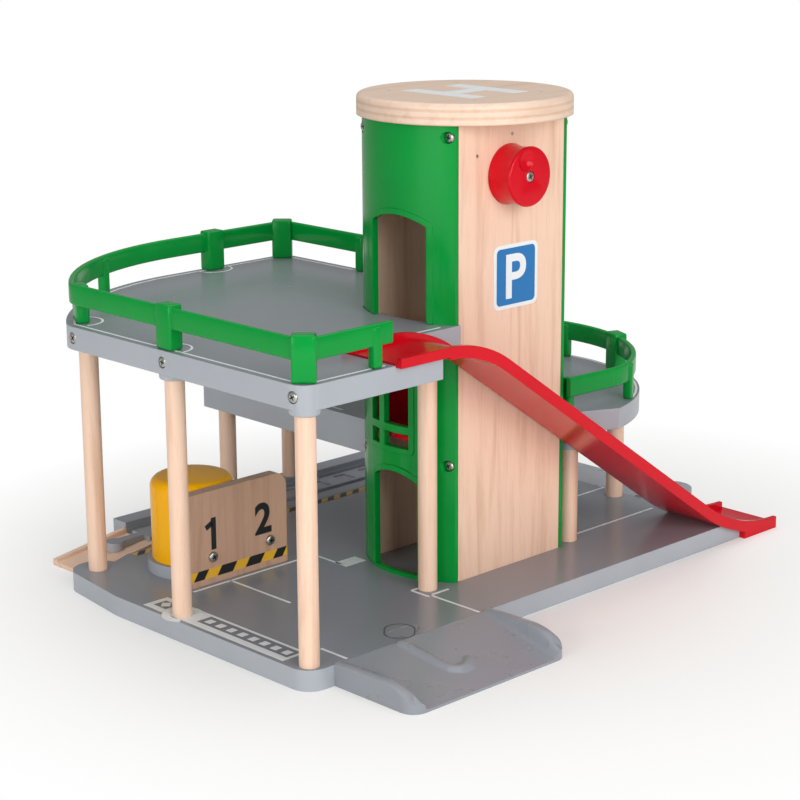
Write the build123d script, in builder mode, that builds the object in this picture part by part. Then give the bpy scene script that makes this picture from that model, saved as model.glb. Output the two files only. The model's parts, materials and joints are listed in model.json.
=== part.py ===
"""Toy parking garage with a hand-cranked lift, millimetres, +Z up.

The origin is on the floor, at the axis of the lift tower. +X runs along the front edge,
+Y runs into the depth of the toy, and the tower's knob faces -Y.
"""

from build123d import *
import math
import os

os.makedirs("parts", exist_ok=True)

# ------------------------------------------------------------------ general fits
SLIDE_GAP = 0.4          # free play between the lift cage and the tower plates
ASSEMBLY_GAP = 0.3       # play where two moulded pieces lie beside each other
SOCKET_GAP = 0.15        # radial play of a dowel or spigot in its socket
RUNNING_GAP = 0.05       # radial running fit of the winding shaft
CUT_OVER = 1.0           # how far a cutting body runs past the face it opens

# ------------------------------------------------------------------ base board
BASE_T = 12.8            # thickness of the base board
BASE_LEFT = -216.0       # left edge, shared with the upper deck
BASE_FRONT = -89.0       # front edge, shared with the upper deck
BASE_RIGHT = 171.0       # right edge
EDGE_BEND_Y = 90.0       # where the left edge starts to lean in
CORNER_R = 13.0          # rounded front-left corner
LOBE_R = 16.0            # rounding around the back-left post
NOTCH = ((-176.0, 144.0), (-162.0, 150.0))   # board edge beside the wooden track
SWEEP_R = 165.0          # big back-left curve of the upper deck
SWEEP_CENTRE = (-75.0, 43.5)
SWEEP_CORNER_R = 22.0    # where that curve meets the left edge
RAIL_FRONT = 150.0       # line where the board ends and the railway starts
BACK_EDGE = 208.5        # back edge of railway and decks
SEAT_TAB = 9.0           # how far the board reaches past its right edge under the slide

# ------------------------------------------------------------------ dowels
POST_R = 6.0             # beech dowels that carry the decks
POST_SEAT = 5.0          # depth of a dowel's socket in the base
BOSS_R = 9.0             # moulded boss around a dowel's top
BOSS_DROP = 3.6          # how far a boss hangs below its deck
POST_CAP = 14.0          # depth of a dowel's socket in a boss
FRONT_LEFT = (-206.4, -79.5)
LEFT_MID = (-207.0, 35.2)
LEFT_BACK = (-193.1, 139.9)
TOWER_SIDE = (-69.0, -36.0)
REAR_POST_Y = 201.0
REAR_LEFT = (-33.5, REAR_POST_Y)
REAR_MID = (24.5, REAR_POST_Y)
RIGHT_FRONT = (65.0, -33.6)
RIGHT_BACK = (162.5, 9.0)

# ------------------------------------------------------------------ decks
UPPER_Z = 164.0          # underside of the upper deck
UPPER_T = 14.6           # its thickness
UPPER_END = -108.5       # right end of its front strip, where the slide leaves
UPPER_INNER_Y = -42.8    # front edge of the deck beside the tower
UPPER_RIGHT = 30.0       # right edge of the deck behind the tower
MID_TOP = 103.0          # top face of the middle deck
MID_T = 14.0             # thickness of its round part
MID_SKIRT_T = 22.4       # depth of its straight part at the back
MID_LEFT = -48.0         # left end of the straight part
MID_CENTRE = (66.0, 55.0)
MID_R = 113.0            # round part of the middle deck
MID_CORNER_X = 62.0      # back corner where the straight part meets the round one
MID_BOSS_DROP = 12.0     # bosses below the round part
# Corners of what is cut off the middle deck beside the slide.
MID_TRIM = ((50.0, 0.0), (50.0, -42.8), (62.0, -42.8), (102.0, -62.0), (-60.0, -62.0), (-60.0, 0.0))
TONGUE_T = 4.0           # deck tongues that reach into the tower doors
TONGUE_IN = 58.2         # radius at which the tongues end
BOSS_EDGE_R = 1.2        # rounding of the bosses

# ------------------------------------------------------------------ fences
FENCE_INSET = 2.6        # from the deck's edge to the rail's outer face
RAIL_T = 3.4             # rail thickness
RAIL_H = 13.0            # rail height
FENCE_H = 25.6           # top of the rail above the deck
POST_W = 14.0            # broad fence post, along the rail
POST_D = 10.0            # broad fence post, across the rail
POST_RISE = 1.2          # broad posts stand a little above the rail
THIN_W = 7.0             # slim fence post
SPIGOT_R = 2.4           # peg under each broad post
SPIGOT_L = 4.0

# ------------------------------------------------------------------ tower
TOWER_R = 64.5           # outer radius of the green panels
TOWER_TOP = 300.4        # top of plates and panels
PLATE_FACE = 41.0        # distance of the plates' outer faces from the axis
PLATE_T = 8.0            # beech plywood plates
PLATE_HALF_W = 47.0
PANEL_T = 3.5            # moulded panel wall
UPPER_DOOR_Y = (-26.0, 18.0)      # sides of the door to the upper deck
LOWER_DOOR_Y = (-20.0, 18.0)
DOOR_H = 66.0            # height of a door to the top of its arch
DOOR_RISE = 6.0          # rise of the arch
SILL_H = 2.4             # raised sill in the ground door
WINDOW_Y = (-14.0, 20.0)
WINDOW_Z = (97.0, 153.0)
MULLION_Y = 9.0
LATTICE_BAR = 5.0
LATTICE_Z = 109.0        # middle of the horizontal bar
DOOR_FRAME = 3.6         # raised border around doors and windows
DOOR_FRAME_T = 1.0
PANEL_FLANGE_T = 2.8     # panel wall under the screw heads
PANEL_SCREW_Y = 37.0
LEFT_SCREW_Z = (89.0, 293.0)
RIGHT_SCREW_Z = (69.0, 293.0)   # the lower pair clears the middle deck
ROOF_R = 67.7
ROOF_T = 13.2
ROOF_EDGE_R = 3.0

# ------------------------------------------------------------------ lift
CAGE_R = 57.2            # rounded ends of the cage floor
CAGE_HALF_X = 46.0       # half length of the cage walls
CAGE_WALL = 3.0
CAGE_FLOOR_T = 3.0
CAGE_WALL_H = 33.0       # walls above the floor
CAGE_H = 58.0            # yoke above the floor
YOKE_W = 12.0
HOOK_R = 5.0
HOOK_HOLE_R = 2.5
SHAFT_R = 3.0
WINCH_X = -3.0           # the winding shaft, beside the tower's axis
WINCH_Z = 266.5
KNOB_R = 19.0
KNOB_L = 17.6
KNOB_WAIST = 1.3         # depth of the groove around the knob
KNOB_DIMPLE_R = 9.0      # ball that leaves the finger dimple
KNOB_DIMPLE_OFF = 11.0   # dimple's distance from the knob's axis
KNOB_DIMPLE_D = 3.0
SHAFT_SEAT = 5.0         # depth of the shaft's bore in the back plate
KNOB_EDGE_R = 1.6
KNOB_BORE_L = 11.0       # how deep the shaft enters the knob

# ------------------------------------------------------------------ car slide
SLIDE_FRONT = -93.4      # near side of the slide
SLIDE_W = 50.0
SLIDE_START = -146.0     # where it begins on the upper deck
SLIDE_RECESS = 1.2       # depth of its seat in the deck
SLIDE_RIM_TOP = 183.3    # top of the rims on the landing
SLIDE_RIM_H = 3.6        # rims above the floor
SLIDE_RIM_W = 3.0
SLIDE_DEPTH = 7.4        # rim top to underside on the slope
SLIDE_ANGLE = 34.65       # slope in degrees
SLIDE_CREST_X = -107.0   # where the crest starts to fall
SLIDE_CREST_R = 88.0
SLIDE_FOOT_R = 134.0
SLIDE_TIP_H = 8.0

# ------------------------------------------------------------------ road ramps
RAMP_W = 128.0
RAMP_L = 64.0
RAMP_LIP = 1.6           # height of the ramp's outer edge
RAMP_RIM_W = 5.0
RAMP_RIM_H = 2.6         # rims above the road at the board
RAMP_RIM_END = 7.4       # height of the rims at the outer end
RAMP_FRONT_X = -132.0    # middle of the front ramp
RAMP_SIDE_Y = 55.0       # middle of the side ramp
TONGUE_NECK_W = 10.0
TONGUE_HEAD = (24.0, 11.0)
TONGUE_REACH = 10.5      # from the seam to the middle of the tongue's head

# ------------------------------------------------------------------ kiosk and bays
KIOSK_AT = (-145.0, 101.0)
KIOSK_FLAT = 34.0        # width of the flat against the board
BOARD_Y = 66.0           # front face of the numbered board
BOARD_T = 8.0
BOARD_X = (-175.5, -96.0)
BOARD_Z = (BASE_T, 73.6)
BOARD_CORNER_R = 9.0
BOARD_SCREW_X = (-158.0, -111.0)
BOARD_SCREW_Z = 30.5
KIOSK_R = 27.0
KIOSK_TOP = 75.5
PLINTH_R = 30.0
PLINTH_H = 8.2
KIOSK_EDGE_R = 1.6
BRACKET_W = 14.0         # upright that takes the right-hand screw
BRACKET_D = 8.0
BRACKET_H = 26.0

# ------------------------------------------------------------------ railway
TRACK_W = 40.0           # width of wooden railway track
TRACK_Y = 177.5          # middle line of the track
GROOVE_W = 6.0
GROOVE_D = 3.0
GROOVE_HALF_GAUGE = 13.0
LEDGE_TOP = 16.6
RAIL_START = -130.0      # joint between wooden track and moulded railway
SLEEPER_PITCH = 24.0
SLEEPER = (11.0, 14.0)
SLEEPER_D = 1.0
ADAPTER_L = 58.0
ADAPTER_LOW = 4.2        # height of its low end
ADAPTER_RIM_W = 4.2
ADAPTER_RIM_H = 3.0
PEG_HEAD_R = 6.0
PEG_NECK_W = 7.0
PEG_REACH = 22.0         # from the joint to the middle of the peg's head

# ------------------------------------------------------------------ screws
SCREW_HEAD_R = 3.4
SCREW_HEAD_H = 2.2
SCREW_R = 1.6
SCREW_L = 14.0
DRIVE_R = 1.5            # recess for the screwdriver
DRIVE_D = 1.0
DECK_SCREW_Y = (-79.5, 35.2, 124.0)   # screws in the left edge of the upper deck
DECK_SCREW_INSET = 2.4
DECK_SCREW_L = 14.0
ROOF_PIN_R = 1.0
ROOF_PIN_L = 12.0
ROOF_PIN_X = 30.0

# ------------------------------------------------------------------ derived values
UPPER_TOP = UPPER_Z + UPPER_T
MID_BOTTOM = MID_TOP - MID_T
MID_SKIRT_Z = MID_TOP - MID_SKIRT_T
PLATE_IN = PLATE_FACE - PLATE_T
PANEL_IN = TOWER_R - PANEL_T
POST_HOLE_R = POST_R + SOCKET_GAP
CAGE_HALF_Y = PLATE_IN - SLIDE_GAP
KNOB_BACK = -(PLATE_FACE + SLIDE_GAP)
SLIDE_BACK = SLIDE_FRONT + SLIDE_W
TAB_BACK = SLIDE_BACK + SLIDE_RIM_W
TAB_RIGHT = BASE_RIGHT + SEAT_TAB
SHAFT_HOLE_R = SHAFT_R + RUNNING_GAP
SCREW_HOLE_R = SCREW_R + SOCKET_GAP
HEAD_HOLE_R = SCREW_HEAD_R + SOCKET_GAP
GROUND_POSTS = {
    "post_front_left": FRONT_LEFT,
    "post_left_mid": LEFT_MID,
    "post_left_back": LEFT_BACK,
    "post_tower_side": TOWER_SIDE,
}
RIGHT_POSTS = {"post_right_front": RIGHT_FRONT, "post_right_back": RIGHT_BACK}
REAR_POSTS = {"post_rear_left": REAR_LEFT, "post_rear_mid": REAR_MID}
BOARD_BACK = BOARD_Y + BOARD_T
UP = (Align.CENTER, Align.CENTER, Align.MIN)
DOWN = (Align.CENTER, Align.CENTER, Align.MAX)


def finish(piece, name):
    """Label a finished piece and write it."""
    piece.part.label = name
    export_step(piece.part, f"parts/{name}.step")


def tower_plan(grow):
    """Plan of the tower, a circle cut off at the faces of its two plates."""
    with BuildSketch() as plan:
        Circle(TOWER_R + grow)
        Rectangle(2 * (TOWER_R + grow), 2 * (PLATE_FACE + grow), mode=Mode.INTERSECT)
    return plan.sketch


def tongue_plan(side, y_range):
    """Plan of a deck tongue that fills the threshold of a tower door."""
    with BuildSketch() as plan:
        Circle(TOWER_R + 2 * ASSEMBLY_GAP)
        Circle(TONGUE_IN, mode=Mode.SUBTRACT)
        with Locations((side * TOWER_R, sum(y_range) / 2)):
            Rectangle(TOWER_R, y_range[1] - y_range[0] - 2 * ASSEMBLY_GAP, mode=Mode.INTERSECT)
    return plan.sketch


# ================================================================== base board
def slide_tip_x():
    """X of the slide's outer end, from its slope and its two curves."""
    slope = math.radians(SLIDE_ANGLE)
    fall = SLIDE_RIM_TOP - SLIDE_TIP_H
    bends = (SLIDE_CREST_R + SLIDE_FOOT_R) * (1 - math.cos(slope))
    run = (fall - bends) / math.tan(slope)
    return SLIDE_CREST_X + (SLIDE_CREST_R + SLIDE_FOOT_R) * math.sin(slope) + run


def foot_underside(x):
    """Height of the slide's underside above the floor, in its lower curve."""
    under_r = SLIDE_FOOT_R + SLIDE_DEPTH
    return SLIDE_TIP_H + SLIDE_FOOT_R - math.sqrt(under_r**2 - (slide_tip_x() - x) ** 2)


def tongue_sketch(grow, reach=TONGUE_REACH):
    """Jigsaw tongue that points along +Y from the origin."""
    with BuildSketch() as shape:
        with Locations((0, reach / 2 - ASSEMBLY_GAP)):
            Rectangle(TONGUE_NECK_W + 2 * grow, reach + 2 * ASSEMBLY_GAP)
        with Locations((0, reach)):
            Ellipse(TONGUE_HEAD[0] / 2 + grow, TONGUE_HEAD[1] / 2 + grow)
    return shape.sketch


FRONT_TONGUE = Location((RAMP_FRONT_X, BASE_FRONT, 0))
SIDE_TONGUE = Location((BASE_RIGHT, RAMP_SIDE_Y, 0), (0, 0, 90))

with BuildPart() as base_board:
    with BuildSketch():
        with BuildLine():
            Polyline(
                (BASE_LEFT + CORNER_R, BASE_FRONT),
                (TAB_RIGHT, BASE_FRONT),
                (TAB_RIGHT, TAB_BACK),
                (BASE_RIGHT, TAB_BACK),
                (BASE_RIGHT, RAIL_FRONT),
                NOTCH[1],
                NOTCH[0],
                LEFT_BACK,
                (LEFT_BACK[0] - LOBE_R, LEFT_BACK[1]),
                (BASE_LEFT, EDGE_BEND_Y),
                (BASE_LEFT, BASE_FRONT + CORNER_R),
            )
            CenterArc((BASE_LEFT + CORNER_R, BASE_FRONT + CORNER_R), CORNER_R, 180, 90)
        make_face()
        with Locations(LEFT_BACK):
            Circle(LOBE_R)
        for tongue_place in (FRONT_TONGUE, SIDE_TONGUE):
            add(tongue_place * tongue_sketch(ASSEMBLY_GAP), mode=Mode.SUBTRACT)
    extrude(amount=BASE_T)
    with BuildSketch(Plane.XZ.offset(-TAB_BACK)):
        seat_x = slide_tip_x() - math.sqrt(
            (SLIDE_FOOT_R + SLIDE_DEPTH) ** 2 - (SLIDE_TIP_H + SLIDE_FOOT_R - BASE_T) ** 2
        )
        with BuildLine():
            ThreePointArc(
                (seat_x, BASE_T),
                (BASE_RIGHT, foot_underside(BASE_RIGHT)),
                (TAB_RIGHT, foot_underside(TAB_RIGHT)),
            )
            Polyline(
                (TAB_RIGHT, foot_underside(TAB_RIGHT)),
                (TAB_RIGHT + CUT_OVER, foot_underside(TAB_RIGHT)),
                (TAB_RIGHT + CUT_OVER, BASE_T + CUT_OVER),
                (seat_x, BASE_T + CUT_OVER),
                (seat_x, BASE_T),
            )
        make_face()
    extrude(amount=TAB_BACK - BASE_FRONT + CUT_OVER, mode=Mode.SUBTRACT)
    with Locations((BOARD_SCREW_X[1], BOARD_BACK + BRACKET_D / 2, BASE_T)):
        Box(BRACKET_W, BRACKET_D, BRACKET_H, align=UP)
    with Locations(Location((BOARD_SCREW_X[1], BOARD_BACK, BOARD_SCREW_Z), (90, 0, 0))):
        Hole(SCREW_HOLE_R, depth=BRACKET_D - CUT_OVER)
    with Locations(*[(x, y, BASE_T) for x, y in (GROUND_POSTS | RIGHT_POSTS).values()]):
        Hole(POST_HOLE_R, depth=POST_SEAT)
finish(base_board, "base_board")


# ================================================================== screws
def screw(length):
    """Pan-head screw along -Z, with the underside of its head at the origin."""
    with BuildPart() as piece:
        Cylinder(SCREW_HEAD_R, SCREW_HEAD_H, align=UP)
        fillet(piece.edges().sort_by(Axis.Z)[-1:], SCREW_HEAD_H / 2)
        with Locations((0, 0, SCREW_HEAD_H - DRIVE_D)):
            Cylinder(DRIVE_R, DRIVE_D, align=UP, mode=Mode.SUBTRACT)
        Cylinder(SCREW_R, length, align=DOWN)
    return piece.part


def screw_group(name, length, places):
    """One node with a screw at each place."""
    with BuildPart() as group:
        for place in places:
            add(place * screw(length))
    finish(group, name)


# ================================================================== railway
def peg_sketch(grow):
    """Railway peg that points along -X from the joint."""
    with BuildSketch() as shape:
        with Locations(((ASSEMBLY_GAP - PEG_REACH) / 2, 0)):
            Rectangle(PEG_REACH + ASSEMBLY_GAP, PEG_NECK_W + 2 * grow)
        with Locations((-PEG_REACH, 0)):
            Circle(PEG_HEAD_R + grow)
    return shape.sketch


RAIL_JOINT = Location((RAIL_START, TRACK_Y, 0))
RAIL_LEN = BASE_RIGHT - RAIL_START
LEDGE_FRONT = TRACK_Y + GROOVE_HALF_GAUGE + GROOVE_W / 2 + CUT_OVER
PEG_UNDER = BASE_T / 3
LEFT_MIN = (Align.MIN, Align.MIN)
LEFT_MID_ALIGN = (Align.MIN, Align.CENTER)

with BuildPart() as rail_section:
    with BuildSketch():
        with Locations((RAIL_START, RAIL_FRONT + ASSEMBLY_GAP)):
            Rectangle(RAIL_LEN, BACK_EDGE - RAIL_FRONT - ASSEMBLY_GAP, align=LEFT_MIN)
    extrude(amount=BASE_T)
    with BuildSketch():
        with Locations((RAIL_START, LEDGE_FRONT)):
            Rectangle(RAIL_LEN, BACK_EDGE - LEDGE_FRONT, align=LEFT_MIN)
    extrude(amount=LEDGE_TOP)
    with BuildSketch(Plane.XY.offset(PEG_UNDER)):
        add(RAIL_JOINT * peg_sketch(0))
    extrude(amount=BASE_T - PEG_UNDER)
    with BuildSketch(Plane.XY.offset(BASE_T)):
        for groove_side in (-1, 1):
            with Locations((RAIL_START, TRACK_Y + groove_side * GROOVE_HALF_GAUGE)):
                Rectangle(RAIL_LEN, GROOVE_W, align=LEFT_MID_ALIGN)
    extrude(amount=-GROOVE_D, mode=Mode.SUBTRACT)
    with BuildSketch(Plane.XY.offset(BASE_T)):
        with Locations((RAIL_START + RAIL_LEN / 2, TRACK_Y)):
            with GridLocations(SLEEPER_PITCH, 1, int(RAIL_LEN / SLEEPER_PITCH), 1):
                Rectangle(*SLEEPER)
    extrude(amount=-SLEEPER_D, mode=Mode.SUBTRACT)
    with Locations(*[(x, y, LEDGE_TOP) for x, y in REAR_POSTS.values()]):
        Hole(POST_HOLE_R, depth=POST_SEAT)
finish(rail_section, "rail_section")

with BuildPart() as adapter_track:
    adapter_right = RAIL_START - ASSEMBLY_GAP
    adapter_left = RAIL_START - ADAPTER_L
    with BuildSketch(Plane.XZ.offset(-(TRACK_Y - TRACK_W / 2))):
        with BuildLine():
            Polyline(
                (adapter_left, 0),
                (adapter_right, 0),
                (adapter_right, BASE_T),
                (adapter_left, ADAPTER_LOW),
                close=True,
            )
        make_face()
    extrude(amount=-TRACK_W)
    with BuildSketch(Plane.XZ.offset(-(TRACK_Y - TRACK_W / 2 + ADAPTER_RIM_W))):
        with BuildLine():
            Polyline(
                (adapter_left - CUT_OVER, ADAPTER_LOW - ADAPTER_RIM_H / 2),
                (adapter_right + CUT_OVER, BASE_T - ADAPTER_RIM_H),
                (adapter_right + CUT_OVER, BASE_T + CUT_OVER),
                (adapter_left - CUT_OVER, BASE_T + CUT_OVER),
                close=True,
            )
        make_face()
    extrude(amount=-(TRACK_W - 2 * ADAPTER_RIM_W), mode=Mode.SUBTRACT)
    with BuildSketch(Plane.XY.offset(PEG_UNDER - ASSEMBLY_GAP)):
        add(RAIL_JOINT * peg_sketch(ASSEMBLY_GAP))
    extrude(amount=BASE_T, mode=Mode.SUBTRACT)
finish(adapter_track, "adapter_track")


# ================================================================== road ramps
def road_ramp():
    """Ramp whose seam lies on the X axis and whose road falls towards -Y."""
    half = RAMP_W / 2
    rim_z = (BASE_T + RAMP_RIM_H, RAMP_RIM_END)
    strips = (
        (-half, RAMP_W, (BASE_T, RAMP_LIP)),
        (-half, RAMP_RIM_W, rim_z),
        (half - RAMP_RIM_W, RAMP_RIM_W, rim_z),
    )
    with BuildPart() as ramp:
        for x_edge, width, (high, low) in strips:
            with BuildSketch(Plane.YZ.offset(x_edge)):
                with BuildLine():
                    Polyline(
                        (-ASSEMBLY_GAP, 0),
                        (-ASSEMBLY_GAP, high),
                        (-RAMP_L, low),
                        (-RAMP_L, 0),
                        close=True,
                    )
                make_face()
            extrude(amount=width)
        with BuildSketch():
            add(tongue_sketch(0))
        extrude(amount=BASE_T)
    return ramp.part


for ramp_name, ramp_place in (("road_ramp_front", FRONT_TONGUE), ("road_ramp_side", SIDE_TONGUE)):
    with BuildPart() as ramp_piece:
        add(ramp_place * road_ramp())
    finish(ramp_piece, ramp_name)


# ================================================================== kiosk and numbered bays
def kiosk_plan(radius):
    """Round plan with a flat that lies against the numbered board."""
    flat_y = BOARD_BACK - KIOSK_AT[1]
    with BuildSketch() as plan:
        Circle(radius)
        with Locations((0, flat_y)):
            Rectangle(KIOSK_FLAT, -flat_y, align=(Align.CENTER, Align.MIN))
            Rectangle(2 * radius, radius, align=(Align.CENTER, Align.MAX), mode=Mode.SUBTRACT)
    return Location((KIOSK_AT[0], KIOSK_AT[1], 0)) * plan.sketch


with BuildPart() as kiosk_plinth:
    with BuildSketch(Plane.XY.offset(BASE_T)):
        add(kiosk_plan(PLINTH_R))
    extrude(amount=PLINTH_H)
finish(kiosk_plinth, "kiosk_plinth")

with BuildPart() as kiosk_drum:
    with BuildSketch(Plane.XY.offset(BASE_T + PLINTH_H)):
        add(kiosk_plan(KIOSK_R))
    extrude(amount=KIOSK_TOP - BASE_T - PLINTH_H)
    fillet(kiosk_drum.edges().filter_by(GeomType.CIRCLE).sort_by(Axis.Z)[-1:], KIOSK_EDGE_R)
    with Locations(Location((BOARD_SCREW_X[0], BOARD_BACK, BOARD_SCREW_Z), (90, 0, 0))):
        Hole(SCREW_HOLE_R, depth=SCREW_L)
finish(kiosk_drum, "kiosk_drum")

BOARD_SCREWS = [Location((x, BOARD_Y, BOARD_SCREW_Z), (90, 0, 0)) for x in BOARD_SCREW_X]
with BuildPart() as bay_board:
    with BuildSketch(Plane.XZ.offset(-BOARD_Y)):
        with BuildLine():
            Polyline(
                (BOARD_X[0], BOARD_Z[0]),
                (BOARD_X[1], BOARD_Z[0]),
                (BOARD_X[1], BOARD_Z[1]),
                (BOARD_X[0], BOARD_Z[1]),
                close=True,
            )
        make_face()
        fillet(vertices().group_by(Axis.Y)[-1].sort_by(Axis.X)[-1:], BOARD_CORNER_R)
    extrude(amount=-BOARD_T)
    with Locations(*BOARD_SCREWS):
        Hole(SCREW_HOLE_R, depth=BOARD_T)
finish(bay_board, "bay_board")
screw_group("bay_board_screws", SCREW_L, BOARD_SCREWS)


# ================================================================== decks
with BuildSketch() as upper_outline:
    with BuildLine():
        corner_at = (BASE_LEFT + CORNER_R, BASE_FRONT + CORNER_R)
        sweep_low = SWEEP_CENTRE[1] + math.sqrt(SWEEP_R**2 - (BASE_LEFT - SWEEP_CENTRE[0]) ** 2)
        sweep_deg = math.degrees(math.atan2(sweep_low - SWEEP_CENTRE[1], BASE_LEFT - SWEEP_CENTRE[0]))
        Polyline(
            (BASE_LEFT + CORNER_R, BASE_FRONT),
            (UPPER_END, BASE_FRONT),
            (UPPER_END, UPPER_INNER_Y),
            (-PLATE_HALF_W, UPPER_INNER_Y),
            (-PLATE_HALF_W, -PLATE_IN),
            (UPPER_RIGHT, 0),
            (UPPER_RIGHT, SWEEP_CENTRE[1] + SWEEP_R),
            (SWEEP_CENTRE[0], SWEEP_CENTRE[1] + SWEEP_R),
        )
        CenterArc(SWEEP_CENTRE, SWEEP_R, 90, sweep_deg - 90)
        Line((BASE_LEFT, sweep_low), (BASE_LEFT, BASE_FRONT + CORNER_R))
        CenterArc(corner_at, CORNER_R, 180, 90)
    make_face()
    fillet(vertices().sort_by_distance((BASE_LEFT, sweep_low))[0], SWEEP_CORNER_R)
UPPER_PLAN = upper_outline.sketch

with BuildSketch() as mid_outline:
    with Locations(MID_CENTRE):
        Circle(MID_R)
    with BuildLine():
        Polyline(*MID_TRIM, close=True)
    make_face(mode=Mode.SUBTRACT)
    with Locations((MID_LEFT, PLATE_FACE)):
        Rectangle(MID_CORNER_X - MID_LEFT, BACK_EDGE - PLATE_FACE, align=LEFT_MIN)
MID_PLAN = mid_outline.sketch


def fence_band(plan, inset, width):
    """Band that follows a deck's edge, seen in the plan."""
    with BuildSketch() as band:
        add(offset(plan, amount=-inset, mode=Mode.PRIVATE))
        add(offset(plan, amount=-inset - width, mode=Mode.PRIVATE), mode=Mode.SUBTRACT)
    return band.sketch


UPPER_BROAD = (
    (-208.0, -81.0, 135),
    (-209.5, 35.0, 90),
    (-205.0, 131.0, 75),
    (-41.0, 202.6, 0),
    (19.5, 202.6, 0),
)
UPPER_THIN = ((-160.0, -84.7, 0), (-144.0, 188.6, 25), (25.7, 124.0, 90))
MID_BROAD = ((166.6, 14.0, 68), (56.0, 202.6, 0))
MID_THIN = ((172.7, 75.7, 101), (113.8, -42.6, 26), (78.0, -46.4, -25), (142.0, 132.4, 135))

def drop_bosses(places, underside, drop, top):
    """Round bosses under a deck, with a socket for each dowel."""
    with BuildPart() as bosses:
        with Locations(*[(x, y, underside - drop) for x, y in places]):
            Cylinder(BOSS_R, top - underside + drop, align=UP)
        fillet(bosses.edges().filter_by(GeomType.CIRCLE).group_by(Axis.Z)[0], BOSS_EDGE_R)
    return bosses.part


DECK_SCREW_Z = UPPER_Z + UPPER_T / 2
DECK_SCREWS = [
    Location((BASE_LEFT + DECK_SCREW_INSET, y, DECK_SCREW_Z), (0, -90, 0)) for y in DECK_SCREW_Y
]

with BuildPart() as upper_deck:
    with BuildSketch(Plane.XY.offset(UPPER_Z)):
        add(UPPER_PLAN)
        add(tower_plan(ASSEMBLY_GAP), mode=Mode.SUBTRACT)
    extrude(amount=UPPER_T)
    with BuildSketch(Plane.XY.offset(UPPER_TOP)):
        add(tongue_plan(-1, UPPER_DOOR_Y))
    extrude(amount=-TONGUE_T)
    add(drop_bosses(GROUND_POSTS.values(), UPPER_Z, BOSS_DROP, UPPER_TOP))
    with Locations((UPPER_END, UPPER_INNER_Y, UPPER_Z - BOSS_DROP)):
        Box(TOWER_R, TOWER_R, 2 * UPPER_T, align=(Align.MIN, Align.MAX, Align.MIN), mode=Mode.SUBTRACT)
    with Locations((SLIDE_START - ASSEMBLY_GAP, BASE_FRONT - CUT_OVER, UPPER_TOP)):
        Box(
            UPPER_END - SLIDE_START + TOWER_R,
            SLIDE_BACK + ASSEMBLY_GAP - BASE_FRONT + CUT_OVER,
            2 * SLIDE_RECESS,
            align=(Align.MIN, Align.MIN, Align.CENTER),
            mode=Mode.SUBTRACT,
        )
    with Locations(*[(x, y, UPPER_Z - BOSS_DROP) for x, y in GROUND_POSTS.values()]):
        Cylinder(POST_HOLE_R, POST_CAP, align=UP, mode=Mode.SUBTRACT)
    with Locations(*[(x, y, UPPER_TOP) for x, y, turn in UPPER_BROAD]):
        Hole(SPIGOT_R + SOCKET_GAP, depth=SPIGOT_L + ASSEMBLY_GAP)
    with Locations(*DECK_SCREWS):
        Cylinder(HEAD_HOLE_R, CORNER_R, align=UP, mode=Mode.SUBTRACT)
        Cylinder(SCREW_HOLE_R, DECK_SCREW_L + ASSEMBLY_GAP, align=DOWN, mode=Mode.SUBTRACT)
finish(upper_deck, "upper_deck")
screw_group("deck_screws", DECK_SCREW_L, DECK_SCREWS)

with BuildPart() as mid_deck:
    with BuildSketch(Plane.XY.offset(MID_BOTTOM)):
        add(MID_PLAN)
        add(tower_plan(ASSEMBLY_GAP), mode=Mode.SUBTRACT)
    extrude(amount=MID_T)
    with BuildSketch(Plane.XY.offset(MID_SKIRT_Z)):
        with Locations((MID_LEFT, PLATE_FACE + ASSEMBLY_GAP)):
            Rectangle(MID_CORNER_X - MID_LEFT, BACK_EDGE - PLATE_FACE - ASSEMBLY_GAP, align=LEFT_MIN)
        add(tower_plan(ASSEMBLY_GAP), mode=Mode.SUBTRACT)
    extrude(amount=MID_SKIRT_T)
    add(drop_bosses(RIGHT_POSTS.values(), MID_BOTTOM, MID_BOSS_DROP, MID_TOP))
    with BuildSketch(Plane.XY.offset(MID_SKIRT_Z - MID_BOSS_DROP)):
        add(tower_plan(ASSEMBLY_GAP))
    extrude(amount=MID_TOP, mode=Mode.SUBTRACT)
    with BuildSketch(Plane.XY.offset(MID_TOP)):
        add(tongue_plan(1, UPPER_DOOR_Y))
    extrude(amount=-TONGUE_T)
    with Locations(*[(x, y, MID_BOTTOM - MID_BOSS_DROP) for x, y in RIGHT_POSTS.values()]):
        Cylinder(POST_HOLE_R, POST_CAP, align=UP, mode=Mode.SUBTRACT)
    with Locations(*[(x, y, MID_SKIRT_Z) for x, y in REAR_POSTS.values()]):
        Cylinder(POST_HOLE_R, POST_CAP, align=UP, mode=Mode.SUBTRACT)
    with Locations(*[(x, y, MID_TOP) for x, y, turn in MID_BROAD]):
        Hole(SPIGOT_R + SOCKET_GAP, depth=SPIGOT_L + ASSEMBLY_GAP)
finish(mid_deck, "mid_deck")


# ================================================================== dowel posts
def dowel(name, place, foot, head):
    """Beech dowel from the floor of one socket to the roof of the other."""
    with BuildPart() as post:
        with Locations((place[0], place[1], foot)):
            Cylinder(POST_R, head - foot, align=UP)
        if place[1] in DECK_SCREW_Y:
            with Locations(*DECK_SCREWS):
                Cylinder(SCREW_HOLE_R, DECK_SCREW_L + ASSEMBLY_GAP, align=DOWN, mode=Mode.SUBTRACT)
    finish(post, name)


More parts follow.
